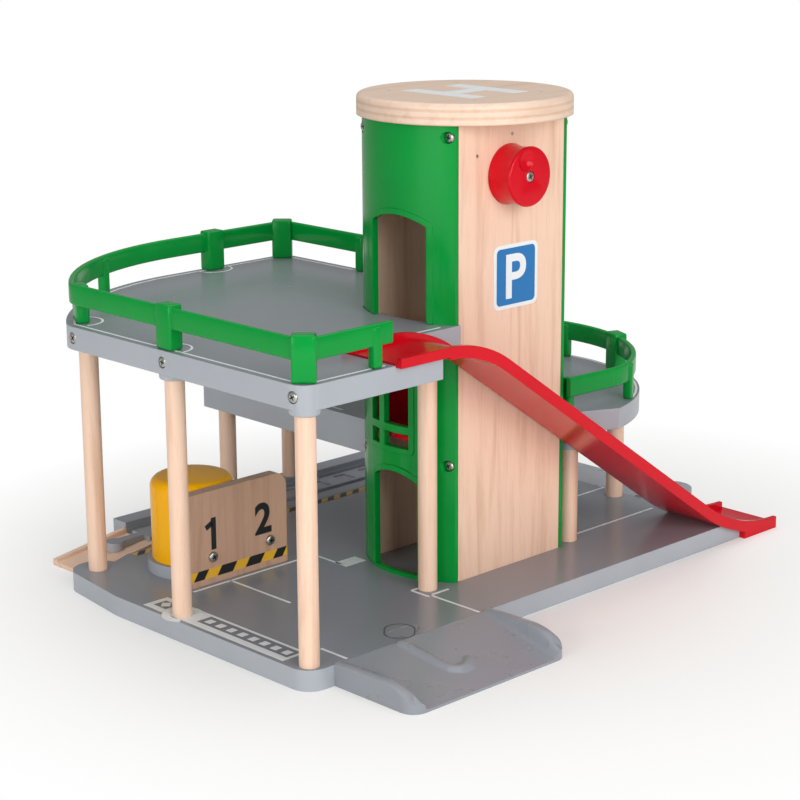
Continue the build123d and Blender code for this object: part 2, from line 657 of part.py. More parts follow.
for post_name, post_place in GROUND_POSTS.items():
    dowel(post_name, post_place, BASE_T - POST_SEAT, UPPER_Z - BOSS_DROP + POST_CAP)
for post_name, post_place in RIGHT_POSTS.items():
    dowel(post_name, post_place, BASE_T - POST_SEAT, MID_BOTTOM - MID_BOSS_DROP + POST_CAP)
for post_name, post_place in REAR_POSTS.items():
    dowel(post_name, post_place, LEDGE_TOP - POST_SEAT, MID_SKIRT_Z + POST_CAP)


# ================================================================== fences
def fence(deck_top, plan, mask, broad, thin):
    """Rail that follows a deck's edge, on broad posts with spigots and slim posts."""
    rail_low = deck_top + FENCE_H - RAIL_H
    band = fence_band(plan, FENCE_INSET, RAIL_T)
    with BuildPart() as piece:
        with BuildSketch(Plane.XY.offset(rail_low)):
            add(band)
            with BuildLine():
                Polyline(*mask, close=True)
            make_face(mode=Mode.INTERSECT)
        extrude(amount=RAIL_H)
        for x, y, turn in broad:
            with BuildSketch(Plane.XY.offset(deck_top)):
                with Locations(Location((x, y), turn)):
                    RectangleRounded(POST_W, POST_D, POST_D / 4)
            extrude(amount=FENCE_H + POST_RISE)
            with Locations((x, y, deck_top)):
                Cylinder(SPIGOT_R, SPIGOT_L, align=DOWN)
        for x, y, turn in thin:
            with BuildSketch(Plane.XY.offset(deck_top)):
                with Locations(Location((x, y), turn)):
                    Rectangle(THIN_W, RAIL_T * 2)
            extrude(amount=FENCE_H - RAIL_H / 2)
    return piece


MASK_REACH = 20.0         # how far the fence masks reach past the board
UPPER_MASK = ((-150.0, BASE_FRONT), (-150.0, -60.0), (-180.0, 80.0), (0.0, 150.0), (10.0, 60.0),
              (60.0, 60.0), (60.0, 250.0), (-260.0, 250.0), (-260.0, BASE_FRONT - MASK_REACH),
              (-145.0, BASE_FRONT - MASK_REACH), (-145.0, BASE_FRONT))
upper_fence = fence(UPPER_TOP, UPPER_PLAN, UPPER_MASK, UPPER_BROAD, UPPER_THIN)
finish(upper_fence, "upper_fence")

MID_MASK = ((64.0, -60.0), (64.0, 0.0), (80.0, 100.0), (-20.0, 190.0), (-20.0, 250.0),
            (220.0, 250.0), (220.0, -80.0), (64.0, -80.0))
side_fence = fence(MID_TOP, MID_PLAN, MID_MASK, MID_BROAD, MID_THIN)
finish(side_fence, "side_fence")


# ================================================================== tower
def door_sketch(y_range, low, high, rise):
    """Door or window outline in the YZ plane, with an arched top where it rises."""
    left, right = y_range
    with BuildSketch() as door:
        with BuildLine():
            Polyline((left, high - rise), (left, low), (right, low), (right, high - rise))
            if rise:
                ThreePointArc((right, high - rise), ((left + right) / 2, high), (left, high - rise))
            else:
                Line((right, high), (left, high))
        make_face()
    return door.sketch


def lattice_bars():
    """Cross of bars that divides a window into four panes."""
    with BuildSketch() as bars:
        with Locations((MULLION_Y, sum(WINDOW_Z) / 2)):
            Rectangle(LATTICE_BAR, WINDOW_Z[1] - WINDOW_Z[0])
        with Locations((sum(WINDOW_Y) / 2, LATTICE_Z)):
            Rectangle(WINDOW_Y[1] - WINDOW_Y[0], LATTICE_BAR)
    return bars.sketch


SCREW_HEIGHTS = {-1: LEFT_SCREW_Z, 1: RIGHT_SCREW_Z}
PANEL_SEAT_X = PLATE_HALF_W + PANEL_FLANGE_T


def panel_screw_places(side):
    """Places of a panel's four screws, with +Z pointing out of the tower."""
    return [
        Location((side * PANEL_SEAT_X, y, z), (0, side * 90, 0))
        for y in (-PANEL_SCREW_Y, PANEL_SCREW_Y)
        for z in SCREW_HEIGHTS[side]
    ]


with BuildSketch() as panel_flanges:
    add(tower_plan(0))
    Rectangle(2 * (PLATE_HALF_W + ASSEMBLY_GAP), 2 * TOWER_R, mode=Mode.SUBTRACT)
    Rectangle(2 * TOWER_R, 2 * (PLATE_IN + ASSEMBLY_GAP), mode=Mode.SUBTRACT)
PANEL_FLANGES = panel_flanges.sketch


def door_frame(outline, frame_low, side):
    """Raised frame around one opening, bent to the panel's curve."""
    with BuildPart() as frame:
        with BuildSketch(Plane.YZ):
            add(offset(outline, amount=DOOR_FRAME, mode=Mode.PRIVATE))
            with Locations((0, frame_low / 2)):
                Rectangle(2 * TOWER_R, frame_low, mode=Mode.SUBTRACT)
        extrude(amount=side * 2 * TOWER_R)
        with BuildSketch():
            Circle(TOWER_R + DOOR_FRAME_T)
            Circle(TOWER_R - DOOR_FRAME_T, mode=Mode.SUBTRACT)
        extrude(amount=TOWER_TOP, mode=Mode.INTERSECT)
    return frame.part


def side_panel(side, doors):
    """Curved side of the tower with framed openings; doors lists outline, frame base, bars."""
    with BuildPart() as panel:
        with BuildSketch(Plane.XY.offset(BASE_T)):
            add(tower_plan(0))
            Circle(PANEL_IN, mode=Mode.SUBTRACT)
            add(PANEL_FLANGES)
            with Locations((-side * TOWER_R / 2, 0)):
                Rectangle(TOWER_R, 2 * TOWER_R, mode=Mode.SUBTRACT)
            with Locations(*[(0, y * (PLATE_IN + PLATE_T / 2)) for y in (-1, 1)]):
                Rectangle(2 * (PLATE_HALF_W + ASSEMBLY_GAP), PLATE_T + 2 * ASSEMBLY_GAP, mode=Mode.SUBTRACT)
        extrude(amount=TOWER_TOP - BASE_T)
        for outline, frame_low, bars in doors:
            add(door_frame(outline, frame_low, side))
            with BuildSketch(Plane.YZ):
                add(outline)
                if bars is not None:
                    add(bars, mode=Mode.SUBTRACT)
            extrude(amount=side * 2 * TOWER_R, mode=Mode.SUBTRACT)
        with Locations(*panel_screw_places(side)):
            Cylinder(HEAD_HOLE_R, TOWER_R, align=UP, mode=Mode.SUBTRACT)
            Cylinder(SCREW_HOLE_R, TOWER_R, align=DOWN, mode=Mode.SUBTRACT)
    return panel


def ground_door():
    """Outline of the arched door at ground level."""
    return door_sketch(LOWER_DOOR_Y, BASE_T + SILL_H, BASE_T + SILL_H + DOOR_H, DOOR_RISE)


def deck_door(deck_top):
    """Outline of the arched door that opens onto a deck, with room for the deck's tongue."""
    return door_sketch(UPPER_DOOR_Y, deck_top - TONGUE_T - ASSEMBLY_GAP, deck_top + DOOR_H, DOOR_RISE)


def window(low):
    """Outline of a lattice window and its bars, at a height."""
    lift = Location((0, low - WINDOW_Z[0], 0))
    return lift * door_sketch(WINDOW_Y, *WINDOW_Z, 0), lift * lattice_bars()


mid_window, mid_bars = window(WINDOW_Z[0])
top_window, top_bars = window(WINDOW_Z[0] + UPPER_TOP - MID_TOP)
LEFT_DOORS = (
    (ground_door(), BASE_T, None),
    (mid_window, BASE_T, mid_bars),
    (deck_door(UPPER_TOP), UPPER_TOP + ASSEMBLY_GAP, None),
)
RIGHT_DOORS = (
    (ground_door(), BASE_T, None),
    (deck_door(MID_TOP), MID_TOP + ASSEMBLY_GAP, None),
    (top_window, BASE_T, top_bars),
)
tower_left_panel = side_panel(-1, LEFT_DOORS)
finish(tower_left_panel, "tower_left_panel")
tower_right_panel = side_panel(1, RIGHT_DOORS)
finish(tower_right_panel, "tower_right_panel")
for panel_name, panel_side in (("left_panel_screws", -1), ("right_panel_screws", 1)):
    screw_group(panel_name, SCREW_L, panel_screw_places(panel_side))

ROOF_PINS = [(x, y) for x in (-ROOF_PIN_X, ROOF_PIN_X) for y in (-PANEL_SCREW_Y, PANEL_SCREW_Y)]


def tower_plate(name, side, bore_depth):
    """Flat beech plate of the tower, with the bore for the winding shaft."""
    with BuildPart() as plate:
        with Locations((0, side * (PLATE_FACE - PLATE_T / 2), BASE_T)):
            Box(2 * PLATE_HALF_W, PLATE_T, TOWER_TOP - BASE_T, align=UP)
        with Locations(Location((WINCH_X, side * PLATE_IN, WINCH_Z), (side * 90, 0, 0))):
            Hole(SHAFT_HOLE_R, depth=bore_depth)
        for edge_side in (-1, 1):
            heights = SCREW_HEIGHTS[edge_side]
            edge_at = (edge_side * PLATE_HALF_W, side * PANEL_SCREW_Y)
            with Locations(*[Location((*edge_at, z), (0, edge_side * 90, 0)) for z in heights]):
                Hole(SCREW_HOLE_R, depth=SCREW_L)
        with Locations(*[(x, y, TOWER_TOP) for x, y in ROOF_PINS if y * side > 0]):
            Hole(ROOF_PIN_R + RUNNING_GAP, depth=ROOF_PIN_L)
    finish(plate, name)
    return plate


tower_front_plate = tower_plate("tower_front_plate", -1, PLATE_T)
tower_back_plate = tower_plate("tower_back_plate", 1, SHAFT_SEAT)

with BuildPart() as roof_disc:
    with Locations((0, 0, TOWER_TOP)):
        Cylinder(ROOF_R, ROOF_T, align=UP)
    fillet(roof_disc.edges().sort_by(Axis.Z)[-1:], ROOF_EDGE_R)
    with Locations(*[(x, y, TOWER_TOP + ROOF_T) for x, y in ROOF_PINS]):
        Hole(ROOF_PIN_R + RUNNING_GAP, depth=ROOF_T)
finish(roof_disc, "roof_disc")

with BuildPart() as roof_pins:
    with Locations(*[(x, y, TOWER_TOP + ROOF_T) for x, y in ROOF_PINS]):
        Cylinder(ROOF_PIN_R, ROOF_T + ROOF_PIN_L - CUT_OVER, align=DOWN)
finish(roof_pins, "roof_pins")

# ================================================================== lift cage
CAGE_TOP = MID_TOP + CAGE_H
with BuildPart() as lift_cage:
    with BuildSketch(Plane.XY.offset(MID_TOP)):
        Circle(CAGE_R)
        Rectangle(2 * CAGE_R, 2 * CAGE_HALF_Y, mode=Mode.INTERSECT)
    extrude(amount=-CAGE_FLOOR_T)
    for wall_side in (-1, 1):
        with Locations((0, wall_side * (CAGE_HALF_Y - CAGE_WALL / 2), MID_TOP)):
            Box(2 * CAGE_HALF_X, CAGE_WALL, CAGE_WALL_H, align=UP)
            Box(YOKE_W, CAGE_WALL, CAGE_H, align=UP)
    with Locations((0, 0, CAGE_TOP)):
        Box(YOKE_W, 2 * CAGE_HALF_Y, CAGE_WALL, align=DOWN)
    with BuildSketch(Plane.YZ.offset(-CAGE_WALL / 2)):
        with Locations((0, CAGE_TOP)):
            Circle(HOOK_R)
            Rectangle(2 * HOOK_R, HOOK_R, align=(Align.CENTER, Align.MAX), mode=Mode.SUBTRACT)
        with Locations((0, CAGE_TOP + HOOK_HOLE_R)):
            Circle(HOOK_HOLE_R / 2, mode=Mode.SUBTRACT)
    extrude(amount=CAGE_WALL)
finish(lift_cage, "lift_cage")

# ================================================================== winch and knob
KNOB_TURN = (90, 0, 0)
with BuildPart() as knob:
    with BuildSketch(Plane.XZ):
        with BuildLine():
            Polyline((0, KNOB_L), (0, 0), (KNOB_R, 0))
            ThreePointArc((KNOB_R, 0), (KNOB_R - KNOB_WAIST, KNOB_L / 2), (KNOB_R, KNOB_L))
            Line((KNOB_R, KNOB_L), (0, KNOB_L))
        make_face()
    revolve(axis=Axis.Z)
    fillet(knob.edges().filter_by(GeomType.CIRCLE).group_by(Axis.Z)[-1], KNOB_EDGE_R)
    with Locations((KNOB_DIMPLE_OFF, 0, KNOB_L + KNOB_DIMPLE_R - KNOB_DIMPLE_D)):
        Sphere(KNOB_DIMPLE_R, mode=Mode.SUBTRACT)
    Cylinder(SHAFT_R, KNOB_BORE_L, align=UP, mode=Mode.SUBTRACT)
    with Locations((0, 0, KNOB_L)):
        CounterBoreHole(SCREW_HOLE_R, HEAD_HOLE_R, SCREW_HEAD_H)
knob.part = Location((WINCH_X, KNOB_BACK, WINCH_Z), KNOB_TURN) * knob.part
finish(knob, "knob")

KNOB_SCREW_L = SCREW_L
with BuildPart() as winding_shaft:
    with Locations(Location((WINCH_X, KNOB_BACK - KNOB_BORE_L, WINCH_Z), KNOB_TURN)):
        Cylinder(SHAFT_R, KNOB_BORE_L - KNOB_BACK + PLATE_IN + SHAFT_SEAT - SLIDE_GAP, align=DOWN)
        Cylinder(SCREW_R, KNOB_SCREW_L, align=DOWN, mode=Mode.SUBTRACT)
finish(winding_shaft, "winding_shaft")
screw_group(
    "knob_screw",
    KNOB_SCREW_L,
    [Location((WINCH_X, KNOB_BACK - KNOB_L + SCREW_HEAD_H, WINCH_Z), KNOB_TURN)],
)

# ================================================================== car slide
def slide_profile(drop):
    """Points and arcs of the slide's side view, a distance below the top of its rims."""
    slope = math.radians(SLIDE_ANGLE)
    crest_at = (SLIDE_CREST_X, SLIDE_RIM_TOP - SLIDE_CREST_R)
    foot_at = (slide_tip_x(), SLIDE_TIP_H + SLIDE_FOOT_R)
    crest_r = SLIDE_CREST_R - drop
    foot_r = SLIDE_FOOT_R + drop

    def crest(angle):
        return (crest_at[0] + crest_r * math.sin(angle), crest_at[1] + crest_r * math.cos(angle))

    def foot(angle):
        return (foot_at[0] - foot_r * math.sin(angle), foot_at[1] - foot_r * math.cos(angle))

    return crest, foot, slope


def slide_curve(drop, end_angle):
    """Draw crest, slope and foot of the slide's side view, from the crest down."""
    crest, foot, slope = slide_profile(drop)
    ThreePointArc(crest(0), crest(slope / 2), crest(slope))
    Line(crest(slope), foot(slope))
    ThreePointArc(foot(slope), foot((slope + end_angle) / 2), foot(end_angle))
    return crest(0), foot(end_angle)


with BuildPart() as car_slide:
    foot_x = TAB_RIGHT + ASSEMBLY_GAP
    under_angle = math.asin((slide_tip_x() - foot_x) / (SLIDE_FOOT_R + SLIDE_DEPTH))
    with BuildSketch(Plane.XZ.offset(-SLIDE_BACK)):
        with BuildLine():
            top_start, top_end = slide_curve(0, 0)
            under_start, under_end = slide_curve(SLIDE_DEPTH, under_angle)
            landing_z = UPPER_TOP - SLIDE_RECESS
            lip_x = under_start[0]
            Polyline(top_end, (top_end[0], 0), (foot_x, 0), under_end)
            Polyline(
                under_start,
                (lip_x, landing_z),
                (SLIDE_START, landing_z),
                (SLIDE_START, SLIDE_RIM_TOP),
                top_start,
            )
        make_face()
    extrude(amount=SLIDE_W)
    with BuildSketch(Plane.XZ.offset(-SLIDE_BACK + SLIDE_RIM_W)):
        with BuildLine():
            floor_start, floor_end = slide_curve(SLIDE_RIM_H, 0)
            Polyline(
                floor_end,
                (floor_end[0] + CUT_OVER, floor_end[1]),
                (floor_end[0] + CUT_OVER, UPPER_TOP + CAGE_H),
                (SLIDE_START - CUT_OVER, UPPER_TOP + CAGE_H),
                (SLIDE_START - CUT_OVER, floor_start[1]),
                floor_start,
            )
        make_face()
    extrude(amount=SLIDE_W - 2 * SLIDE_RIM_W, mode=Mode.SUBTRACT)
finish(car_slide, "car_slide")
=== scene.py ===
"""Looks of a toy parking garage with a hand-cranked lift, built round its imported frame."""

import json
import logging
import math
from dataclasses import dataclass, field
from enum import Enum
from typing import Iterable, Iterator, Sequence

import bmesh
import bpy
from bmesh.types import BMEdge, BMesh, BMFace, BMVert
from bpy.types import Material, Node, NodeSocket, NodeTree, Object
from mathutils import Matrix, Vector

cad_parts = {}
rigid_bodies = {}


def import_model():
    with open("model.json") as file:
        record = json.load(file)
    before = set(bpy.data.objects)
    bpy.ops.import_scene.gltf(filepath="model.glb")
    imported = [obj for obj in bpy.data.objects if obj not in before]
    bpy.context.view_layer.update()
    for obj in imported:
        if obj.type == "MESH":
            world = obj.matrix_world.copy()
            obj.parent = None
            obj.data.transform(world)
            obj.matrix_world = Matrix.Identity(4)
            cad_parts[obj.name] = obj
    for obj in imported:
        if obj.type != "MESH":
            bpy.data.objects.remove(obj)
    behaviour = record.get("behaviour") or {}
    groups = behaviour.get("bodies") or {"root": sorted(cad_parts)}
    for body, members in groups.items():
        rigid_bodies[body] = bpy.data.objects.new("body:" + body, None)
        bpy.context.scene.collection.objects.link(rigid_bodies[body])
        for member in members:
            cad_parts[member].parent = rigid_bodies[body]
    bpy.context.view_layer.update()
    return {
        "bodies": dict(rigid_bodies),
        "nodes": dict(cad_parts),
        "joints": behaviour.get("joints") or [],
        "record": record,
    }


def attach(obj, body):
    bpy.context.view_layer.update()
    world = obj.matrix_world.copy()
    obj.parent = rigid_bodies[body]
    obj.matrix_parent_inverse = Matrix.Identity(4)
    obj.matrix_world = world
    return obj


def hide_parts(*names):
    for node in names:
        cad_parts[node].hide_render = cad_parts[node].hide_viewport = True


LOG = logging.getLogger("garage")
Point = tuple[float, float]
Point3 = tuple[float, float, float]
Moves = Iterable[tuple[float, ...]]

MM = 0.001
GARAGE, WINCH = "garage", "winch"

# Heights and faces of the frame that prints and fasteners lie on, in millimetres.
BOARD_TOP = 12.8
UPPER_TOP = 178.6
MID_TOP = 103.0
ROOF_TOP = 313.6
PLATE_FACE_Y = -41.0
BAY_BOARD_Y = 66.0
PRINT_T = 0.12
SHARP = math.radians(38)
POLYMER_IOR = 1.5

# Corners nearer than this, in millimetres, are one corner: of a solid, and of ink.
WELD, INK_WELD = 1e-3, 1e-4


class Grain(Enum):
    """Direction in which a piece of wood was cut, as the axis its grain runs along."""

    X = 0
    Z = 2


def linear(code: str) -> tuple[float, float, float, float]:
    """Turn an sRGB hex colour into linear RGBA.

    Args:
        code: Six hex digits, such as "E3C0A4".

    Returns:
        The colour's linear red, green and blue, and an alpha of 1.
    """
    parts = [int(code[i:i + 2], 16) / 255 for i in (0, 2, 4)]
    red, green, blue = (p / 12.92 if p <= 0.04045 else ((p + 0.055) / 1.055) ** 2.4 for p in parts)
    return (red, green, blue, 1.0)


def put(tree: NodeTree, kind: str, links: dict | None = None, **values: object) -> Node:
    """Add one node to a material.

    Args:
        tree: The material's node tree.
        kind: The node's type name, without its ShaderNode at the front.
        links: Input name or number to the output socket that feeds it.
        values: Node properties, or inputs: a name with underscores for spaces, or "in" and a number.

    Returns:
        The new node.
    """
    made = tree.nodes.new("ShaderNode" + kind)
    for key, value in values.items():
        if hasattr(made, key):
            setattr(made, key, value)
        else:
            name = int(key[2:]) if key.startswith("in") else key.replace("_", " ")
            made.inputs[name].default_value = value
    for key, output in (links or {}).items():
        tree.links.new(output, made.inputs[key])
    return made


def ramp_stops(made: Node, stops: Sequence[tuple[float, str]]) -> Node:
    """Set the colours of a colour ramp.

    Args:
        made: The ramp node.
        stops: Positions and sRGB hex colours, in order.

    Returns:
        The same node.
    """
    ramp = made.color_ramp
    while len(ramp.elements) < len(stops):
        ramp.elements.new(0.5)
    for element, (place, code) in zip(ramp.elements, stops):
        element.position = place
        element.color = linear(code)
    return made


def blank(name: str) -> tuple[Material, NodeTree, NodeSocket]:
    """Make an empty material.

    Args:
        name: The material's name.

    Returns:
        The material, its node tree and its object coordinates.
    """
    material = bpy.data.materials.new(name)
    material.use_nodes = True
    tree = material.node_tree
    tree.nodes.clear()
    return material, tree, put(tree, "TexCoord").outputs["Object"]


def surface(tree: NodeTree, links: dict, **values: object) -> NodeSocket:
    """Add the shader and the output of a material.

    Args:
        tree: The material's node tree.
        links: The shader's inputs and what feeds them.
        values: The shader's constants.

    Returns:
        The shader's output.
    """
    shader = put(tree, "BsdfPrincipled", links, **values).outputs[0]
    put(tree, "OutputMaterial", {"Surface": shader})
    return shader


def worn_edge(tree: NodeTree, radius_mm: float) -> NodeSocket:
    """Round the look of sharp edges, as a moulded or sanded edge is.

    Args:
        tree: The material's node tree.
        radius_mm: Radius of the edge.

    Returns:
        The softened normal.
    """
    return put(tree, "Bevel", samples=6, Radius=radius_mm * MM).outputs[0]


@dataclass(frozen=True)
class MouldedPlastic:
    """Injection-moulded ABS: one colour through and through, with a faint orange-peel skin.

    Level faces show the top colour, if there is one: painted shade that makes them darker than upright
    faces, as the light and its reflections fall.
    """

    name: str
    colour: str
    shade: str
    roughness: float = 0.3
    skin_mm: float = 3.0
    skin_depth: float = 0.04
    edge_mm: float = 0.7
    gleam: float = 0.22
    top: str = ""
    cloud_mm: float = 45.0
    handled_mm: float = 14.0

    def material(self) -> Material:
        """Build the plastic's material.

        Returns:
            The material.
        """
        material, tree, place = blank(self.name)
        cloud = put(tree, "TexNoise", {"Vector": place}, Scale=1 / (self.cloud_mm * MM),
                    Detail=2.0)
        tint = put(tree, "ValToRGB", {"Fac": cloud.outputs["Fac"]})
        ramp_stops(tint, ((0.3, self.shade), (0.7, self.colour)))
        peel = put(tree, "TexNoise", {"Vector": place}, Scale=1 / (self.skin_mm * MM),
                   Detail=3.0)
        handled = put(tree, "TexNoise", {"Vector": place}, Scale=1 / (self.handled_mm * MM),
                      Detail=5.0)
        gloss = put(tree, "MapRange", {"Value": handled.outputs["Fac"]},
                    in3=self.roughness * 0.82, in4=self.roughness * 1.25)
        bump = put(tree, "Bump", {"Height": peel.outputs["Fac"]}, Strength=self.skin_depth,
                   Distance=0.4 * MM)
        if self.edge_mm:
            tree.links.new(worn_edge(tree, self.edge_mm), bump.inputs["Normal"])
        colour = tint.outputs["Color"]
        # Painted shade: faces that look up are mixed towards the darker top colour.
        if self.top:
            normal = put(tree, "NewGeometry")
            up = put(tree, "SeparateXYZ", {"Vector": normal.outputs["True Normal"]})
            level = put(tree, "MapRange", {"Value": up.outputs["Z"]}, in1=0.55, in2=0.8)
            colour = put(tree, "Mix", {"Factor": level.outputs[0], 6: colour},
                         data_type="RGBA", in7=linear(self.top)).outputs[2]
        surface(tree, {"Base Color": colour, "Roughness": gloss.outputs[0], "Normal": bump.outputs[0]},
              IOR=POLYMER_IOR, Specular_IOR_Level=self.gleam)
        return material


@dataclass(frozen=True)
class LacqueredBeech:
    """Sanded beech under thin clear lacquer: pale pink-brown, fine pores and short ray flecks."""

    name: str
    grain: Grain
    pale: str = "EAC9AC"
    dark: str = "D3A987"
    roughness: float = 0.42
    ring_mm: float = 9.0
    pore_mm: float = 0.7
    fleck_mm: float = 2.4
    edge_mm: float = 0.8
    ply_mm: float = 0.0
    mark: str = "A0704F"
    mark_share: float = 0.11
    ply_tint: str = "F5EAE0"

    def stretched(self, tree: NodeTree, place: NodeSocket, along: float) -> NodeSocket:
        """Squeeze the coordinates along the grain.

        Args:
            tree: The material's node tree.
            place: Coordinates to squeeze.
            along: Factor along the grain.

        Returns:
            The squeezed coordinates.
        """
        scale = [1.0, 1.0, 1.0]
        scale[self.grain.value] = along
        return put(tree, "Mapping", {"Vector": place}, Scale=scale).outputs[0]

    def material(self) -> Material:
        """Build the wood's material.

        Returns:
            The material.
        """
        material, tree, place = blank(self.name)
        long = self.stretched(tree, place, 0.06)
        rings = put(tree, "TexNoise", {"Vector": long}, Scale=1 / (self.ring_mm * MM),
                    Detail=4.0, Roughness=0.55, Distortion=0.6)
        tone = put(tree, "ValToRGB", {"Fac": rings.outputs["Fac"]})
        ramp_stops(tone, ((0.28, self.dark), (0.5, self.pale), (0.62, self.pale), (0.8, self.dark)))
        pores = put(tree, "TexNoise", {"Vector": self.stretched(tree, place, 0.045)},
                    Scale=1 / (self.pore_mm * MM), Detail=2.0)
        pore_mask = put(tree, "MapRange", {"Value": pores.outputs["Fac"]}, in1=0.56, in2=0.72)
        flecks = put(tree, "TexVoronoi", {"Vector": self.stretched(tree, place, 0.22)},
                     Scale=1 / (self.fleck_mm * MM))
        fleck_mask = put(tree, "MapRange", {"Value": flecks.outputs["Distance"]}, in1=0.16,
                         in2=0.05)
        marks = put(tree, "Math", {0: pore_mask.outputs[0], 1: fleck_mask.outputs[0]},
                    operation="MAXIMUM", use_clamp=True)
        amount = put(tree, "Math", {0: marks.outputs[0]}, operation="MULTIPLY",
                     in1=self.mark_share)
        colour = put(tree, "Mix", {"Factor": amount.outputs[0], 6: tone.outputs["Color"]},
                     data_type="RGBA", blend_type="MULTIPLY", in7=linear(self.mark)).outputs[2]
        if self.ply_mm:
            colour = self.plies(tree, place, colour)
        bump = put(tree, "Bump",
                   {"Height": pores.outputs["Fac"], "Normal": worn_edge(tree, self.edge_mm)},
                   Strength=0.12, Distance=0.15 * MM)
        surface(tree, {"Base Color": colour, "Normal": bump.outputs[0]}, IOR=POLYMER_IOR,
              Roughness=self.roughness)
        return material

    def plies(self, tree: NodeTree, place: NodeSocket, colour: NodeSocket) -> NodeSocket:
        """Show the layers of plywood where a disc's edge cuts them.

        Args:
            tree: The material's node tree.
            place: Object coordinates.
            colour: Colour of the face veneer.

        Returns:
            The colour with darker cross layers on upright faces.
        """
        axes = put(tree, "SeparateXYZ", {"Vector": place})
        wave = put(tree, "Math", {0: axes.outputs["Z"]}, operation="MULTIPLY",
                   in1=math.tau / (self.ply_mm * MM))
        sine = put(tree, "Math", {0: wave.outputs[0]}, operation="SINE")
        layer = put(tree, "MapRange", {"Value": sine.outputs[0]}, in1=0.1, in2=0.5)
        normal = put(tree, "NewGeometry")
        up = put(tree, "SeparateXYZ", {"Vector": normal.outputs["True Normal"]})
        upright = put(tree, "MapRange", {"Value": up.outputs["Z"]}, in1=0.6, in2=0.3)
        share = put(tree, "Math", {0: layer.outputs[0], 1: upright.outputs[0]},
                    operation="MULTIPLY")
        return put(tree, "Mix", {"Factor": share.outputs[0], 6: colour}, data_type="RGBA",
                   blend_type="MULTIPLY", in7=linear(self.ply_tint)).outputs[2]


@dataclass(frozen=True)
class PadPrint:
    """Pad-printed ink: an opaque, satin film that lets the surface below show in its skin."""

    name: str
    colour: str
    roughness: float = 0.45
    worn_mm: float = 5.0

    def material(self) -> Material:
        """Build the ink's material.

        Returns:
            The material.
        """
        material, tree, place = blank(self.name)
        worn = put(tree, "TexNoise", {"Vector": place}, Scale=1 / (self.worn_mm * MM),
                   Detail=6.0)
        rough = put(tree, "MapRange", {"Value": worn.outputs["Fac"]},
                    in3=self.roughness * 0.85, in4=self.roughness * 1.2)
        value = put(tree, "MapRange", {"Value": worn.outputs["Fac"]}, in3=0.95, in4=1.04)
        tint = put(tree, "HueSaturation", {"Value": value.outputs[0]}, Color=linear(self.colour))
        surface(tree, {"Base Color": tint.outputs[0], "Roughness": rough.outputs[0]})
        return material


@dataclass(frozen=True)
class ZincPlatedSteel:
    """Zinc-plated steel of screws and pins: bright, with the fine turning marks of the head."""

    name: str
    colour: str = "BDBBB4"
    mark_mm: float = 0.6

    def material(self) -> Material:
        """Build the metal's material.

        Returns:
            The material.
        """
        material, tree, place = blank(self.name)
        marks = put(tree, "TexNoise", {"Vector": place}, Scale=1 / (self.mark_mm * MM),
                    Detail=4.0)
        rough = put(tree, "MapRange", {"Value": marks.outputs["Fac"]}, in3=0.22, in4=0.42)
        surface(tree, {"Roughness": rough.outputs[0]}, Metallic=1.0, Base_Color=linear(self.colour))
        return material


# The top colours of the grey plastics are painted shade on their level faces.
GREY_ABS = MouldedPlastic("moulded_grey_abs", "A9AEB5", "A4A9B0", roughness=0.24, skin_mm=1.6,
                          skin_depth=0.05, gleam=0.5, top="8B9097")
GREEN_ABS = MouldedPlastic("glossy_green_abs", "00963A", "008F37", roughness=0.16, skin_mm=6.0)
RED_ABS = MouldedPlastic("glossy_red_abs", "D2001B", "CA0019", roughness=0.16, skin_mm=6.0)
YELLOW_ABS = MouldedPlastic("glossy_yellow_abs", "FFB900", "FDB500", roughness=0.22, skin_mm=5.0)
ROAD_ABS = MouldedPlastic("moulded_road_grey_abs", "91959C", "90949B", roughness=0.28, skin_mm=1.6,
                          skin_depth=0.02, gleam=0.4, edge_mm=0.0, top="90949B")
BEECH_Z = LacqueredBeech("beech_upright", Grain.Z, pale="F0CDB4", dark="DDB599")
# The bay board's beech is darker than the other beech: painted shade for the shade it stands in under the
# decks.
SHADED_BEECH_BOARD = LacqueredBeech("beech_board", Grain.Z, pale="C19B83", dark="AE8972")
BEECH_X = LacqueredBeech("beech_lengthwise", Grain.X, pale="F0CCB2", dark="DDB497")
BEECH_DISC = LacqueredBeech("beech_plywood_disc", Grain.X, pale="EACFBA", dark="DFC1AA", ply_mm=4.4)
ZINC = ZincPlatedSteel("zinc_plated_steel")
# The drive recess is a dark steel cross laid on the head: painted shade in place of a cut recess.
RECESS_SHADE = ZincPlatedSteel("steel_drive_recess", "3C3B39")
WHITE_INK = PadPrint("white_pad_print", "E9EEEF")
GROOVE = PadPrint("shadowed_groove", "4E5258")
ROAD_INK = PadPrint("road_grey_print", "7C8088")
BLACK_INK = PadPrint("black_pad_print", "17191C")
BLUE_INK = PadPrint("blue_pad_print", "1673B5")
HAZARD_INK = PadPrint("hazard_yellow_print", "E0AC2A")

FRAME_FINISHES = {
    GREY_ABS: ("base_board", "rail_section", "road_ramp_front", "road_ramp_side", "kiosk_plinth",
               "upper_deck", "mid_deck"),
    GREEN_ABS: ("upper_fence", "side_fence", "tower_left_panel", "tower_right_panel"),
    RED_ABS: ("car_slide", "lift_cage", "knob"),
    YELLOW_ABS: ("kiosk_drum",),
    BEECH_Z: ("tower_front_plate", "tower_back_plate", "post_front_left", "post_left_mid", "post_left_back",
              "post_tower_side", "post_rear_left", "post_rear_mid", "post_right_front", "post_right_back"),
    BEECH_X: ("adapter_track",),
    SHADED_BEECH_BOARD: ("bay_board",),
    BEECH_DISC: ("roof_disc",),
    ZINC: ("bay_board_screws", "deck_screws", "left_panel_screws", "right_panel_screws", "roof_pins",
           "knob_screw", "winding_shaft"),
}
_made: dict[str, Material] = {}


